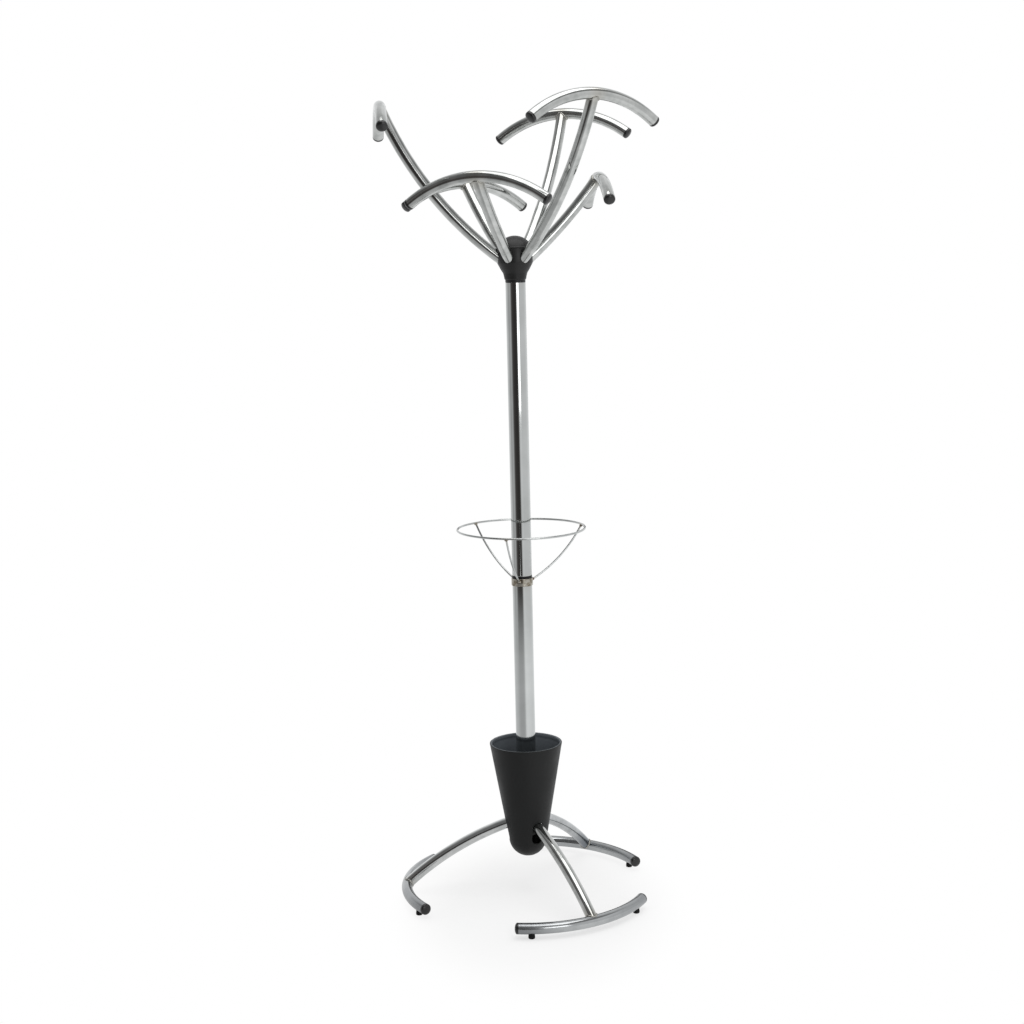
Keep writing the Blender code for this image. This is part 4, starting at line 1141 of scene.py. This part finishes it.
surround = bpy.data.worlds.new("whiteStudio")
scene.world = surround
surround.use_nodes = True
tree = surround.node_tree
tree.nodes.clear()
white = linearColour(studio["white"])
plainLight, whiteBack = [
    addNode(tree, "ShaderNodeBackground", (white, strength)) for strength in (studio["ambient"], 1.0)
]
mixed = addNode(tree, "ShaderNodeMixShader", (seenRays(tree)[0], plainLight, whiteBack))
addNode(tree, "ShaderNodeOutputWorld", (mixed,))


def floorMaterial():
    # White paper sweep. Its own white holds the background, and its lit share keeps the object's shadow. Round
    # the base an oval shows less of its own white, a painted pale shadow over the real one. The chrome sees it
    # painted greyer on the dark side of the studio, as the paper there gets less light.
    material, tree, place, _, share = newStage("whitePaperSweep")
    seen, glossy = seenRays(tree)
    (middleX, middleY), (reachX, reachY) = studio["shadeMiddle"], studio["shadeReach"]
    spot = addNode(tree, vectorMaths, (place, (-middleX, -middleY, 0.0)))
    scaled = addNode(tree, vectorMaths, (spot, (1 / reachX, 1 / reachY, 1.0)), operation="MULTIPLY")
    oval, distance = [addNode(tree, vectorMaths, (way,), "Value", operation="LENGTH") for way in (scaled, place)]
    # the oval round the base shows less of the paper's own white: a painted pale shadow, over the real shadow in its
    # lit share
    shown = addNode(tree, mapRange, (oval, *studio["shadeEdge"], studio["paintedShadowWhite"], 1.0),
                    interpolation_type="SMOOTHSTEP")
    mirrored = addNode(tree, mapRange, (distance, *studio["mirroredReach"], studio["mirroredWhite"], 1.0))
    apart = addNode(tree, mapRange, (distance, *studio["nearFloorReach"]), interpolation_type="SMOOTHSTEP")
    shade = addNode(tree, mix, {0: apart, 6: brightnessRamp(tree, share, nearFloor),
                                7: brightnessRamp(tree, share, horizon)}, 2, data_type="RGBA")
    plain = (*[1 / studio["brightest"]] * 3, 1.0)
    colour = addNode(tree, mix, {0: glossy, 6: plain, 7: shade}, 2, data_type="RGBA")
    ownWhite = addNode(tree, mix, {0: glossy, 2: shown, 3: mirrored})
    factor = addNode(tree, maths, (ownWhite, seen), operation="MULTIPLY")
    lit = addNode(tree, "ShaderNodeBsdfDiffuse", {"Color": linearColour(studio["floorColour"])})
    glow = addNode(tree, "ShaderNodeEmission", (colour, studio["brightest"]))
    mixed = addNode(tree, "ShaderNodeMixShader", (factor, lit, glow))
    addNode(tree, "ShaderNodeOutputMaterial", (mixed,))
    return material


def wallMaterial():
    # the studio's walls and flags, as bright as the chrome should show them
    material, tree, _, up, share = newStage("studioWallCloth")
    level = addNode(tree, maths, (up, 1 / walls["radius"]), operation="MULTIPLY")
    colour = brightnessRamp(tree, share, horizon)
    for span, stops in ((walls["toLow"], lowWalls), (walls["toHigh"], highWalls)):
        raised = addNode(tree, mapRange, (level, *span), interpolation_type="SMOOTHSTEP")
        colour = addNode(tree, mix, {0: raised, 6: colour, 7: brightnessRamp(tree, share, stops)}, 2,
                         data_type="RGBA")
    crown = addNode(tree, mapRange, (level, *walls["toCrown"]))
    colour = addNode(tree, mix, {0: crown, 6: colour, 7: (*[walls["crown"]] * 3, 1.0)}, 2, data_type="RGBA")
    glow = addNode(tree, "ShaderNodeEmission", (colour, studio["brightest"]))
    addNode(tree, "ShaderNodeOutputMaterial", (glow,))
    return material


def addStage(name, mesh, material):
    mesh.materials.append(material)
    thing = addObject(name, mesh)
    return thing


half, under = studio["floorHalf"], floorLevel - gap
floorMesh = bpy.data.meshes.new("paperFloor")
floorMesh.from_pydata([(-half, -half, under), (half, -half, under), (half, half, under), (-half, half, under)],
                      [], [(0, 1, 2, 3)])
addStage("paperFloor", floorMesh, floorMaterial())
# only the chrome sees the walls: they hold back no light and the camera looks through them
angles = [math.tau / 4 * step / walls["steps"] for step in range(walls["steps"])]
arch = [(walls["radius"] * math.cos(angle), walls["radius"] * math.sin(angle)) for angle in angles]
wallMesh = turnedMesh("studioWalls", [(0.0, walls["radius"]), *reversed(arch)], walls["sides"])
cloth = addStage("studioWalls", wallMesh, wallMaterial())
cloth.visible_camera = cloth.visible_diffuse = cloth.visible_shadow = cloth.visible_transmission = False


def onRing(degrees, distance, height):
    # a spot round the object: 0 is towards the camera, and positive is to its right
    angle = math.radians(degrees)
    return Vector((distance * math.sin(angle), -distance * math.cos(angle), height))


lamps = {
    "overheadBox": {"place": (0.25, -0.5, 3.3), "aim": (0.25, -0.5, 0.0), "size": (2.4, 2.3), "radiance": 2.1},
    "rightStrip": {"place": onRing(22.0, 3.1, 1.42), "aim": (0.0, 0.0, 1.42), "size": (1.25, 1.28), "radiance": 2.3},
}
for name, lamp in lamps.items():
    data = bpy.data.lights.new(name, "AREA")
    data.shape = "RECTANGLE"
    data.size, data.size_y = lamp["size"]
    data.energy = lamp["radiance"] * math.pi * data.size * data.size_y
    thing = addObject(name, data)
    thing.location = lamp["place"]
    thing.rotation_euler = (Vector(lamp["aim"]) - Vector(lamp["place"])).to_track_quat("-Z", "Y").to_euler()
    thing.visible_camera = False

view = {"place": (0.0406, -3.5854, 1.3798), "heading": -0.942, "tilt": 8.5185, "roll": -1.344, "lens": 59.93,
        "sensor": 36.0}
heading, tilt, roll = (math.radians(view[key]) for key in ("heading", "tilt", "roll"))
ahead = Vector((math.sin(heading) * math.cos(tilt), math.cos(heading) * math.cos(tilt), -math.sin(tilt)))
level = Vector((math.cos(heading), -math.sin(heading), 0))
upright = level.cross(ahead)
right = level * math.cos(roll) + upright * math.sin(roll)
top = upright * math.cos(roll) - level * math.sin(roll)
cameraData = bpy.data.cameras.new("viewCamera")
cameraData.lens, cameraData.sensor_width = view["lens"], view["sensor"]
camera = addObject("viewCamera", cameraData)
camera.matrix_world = Matrix.Translation(view["place"]) @ Matrix((right, top, -ahead)).transposed().to_4x4()
scene.camera = camera
scene.view_settings.view_transform = "Standard"
print("studio: floor, surround, walls, lamps and camera")
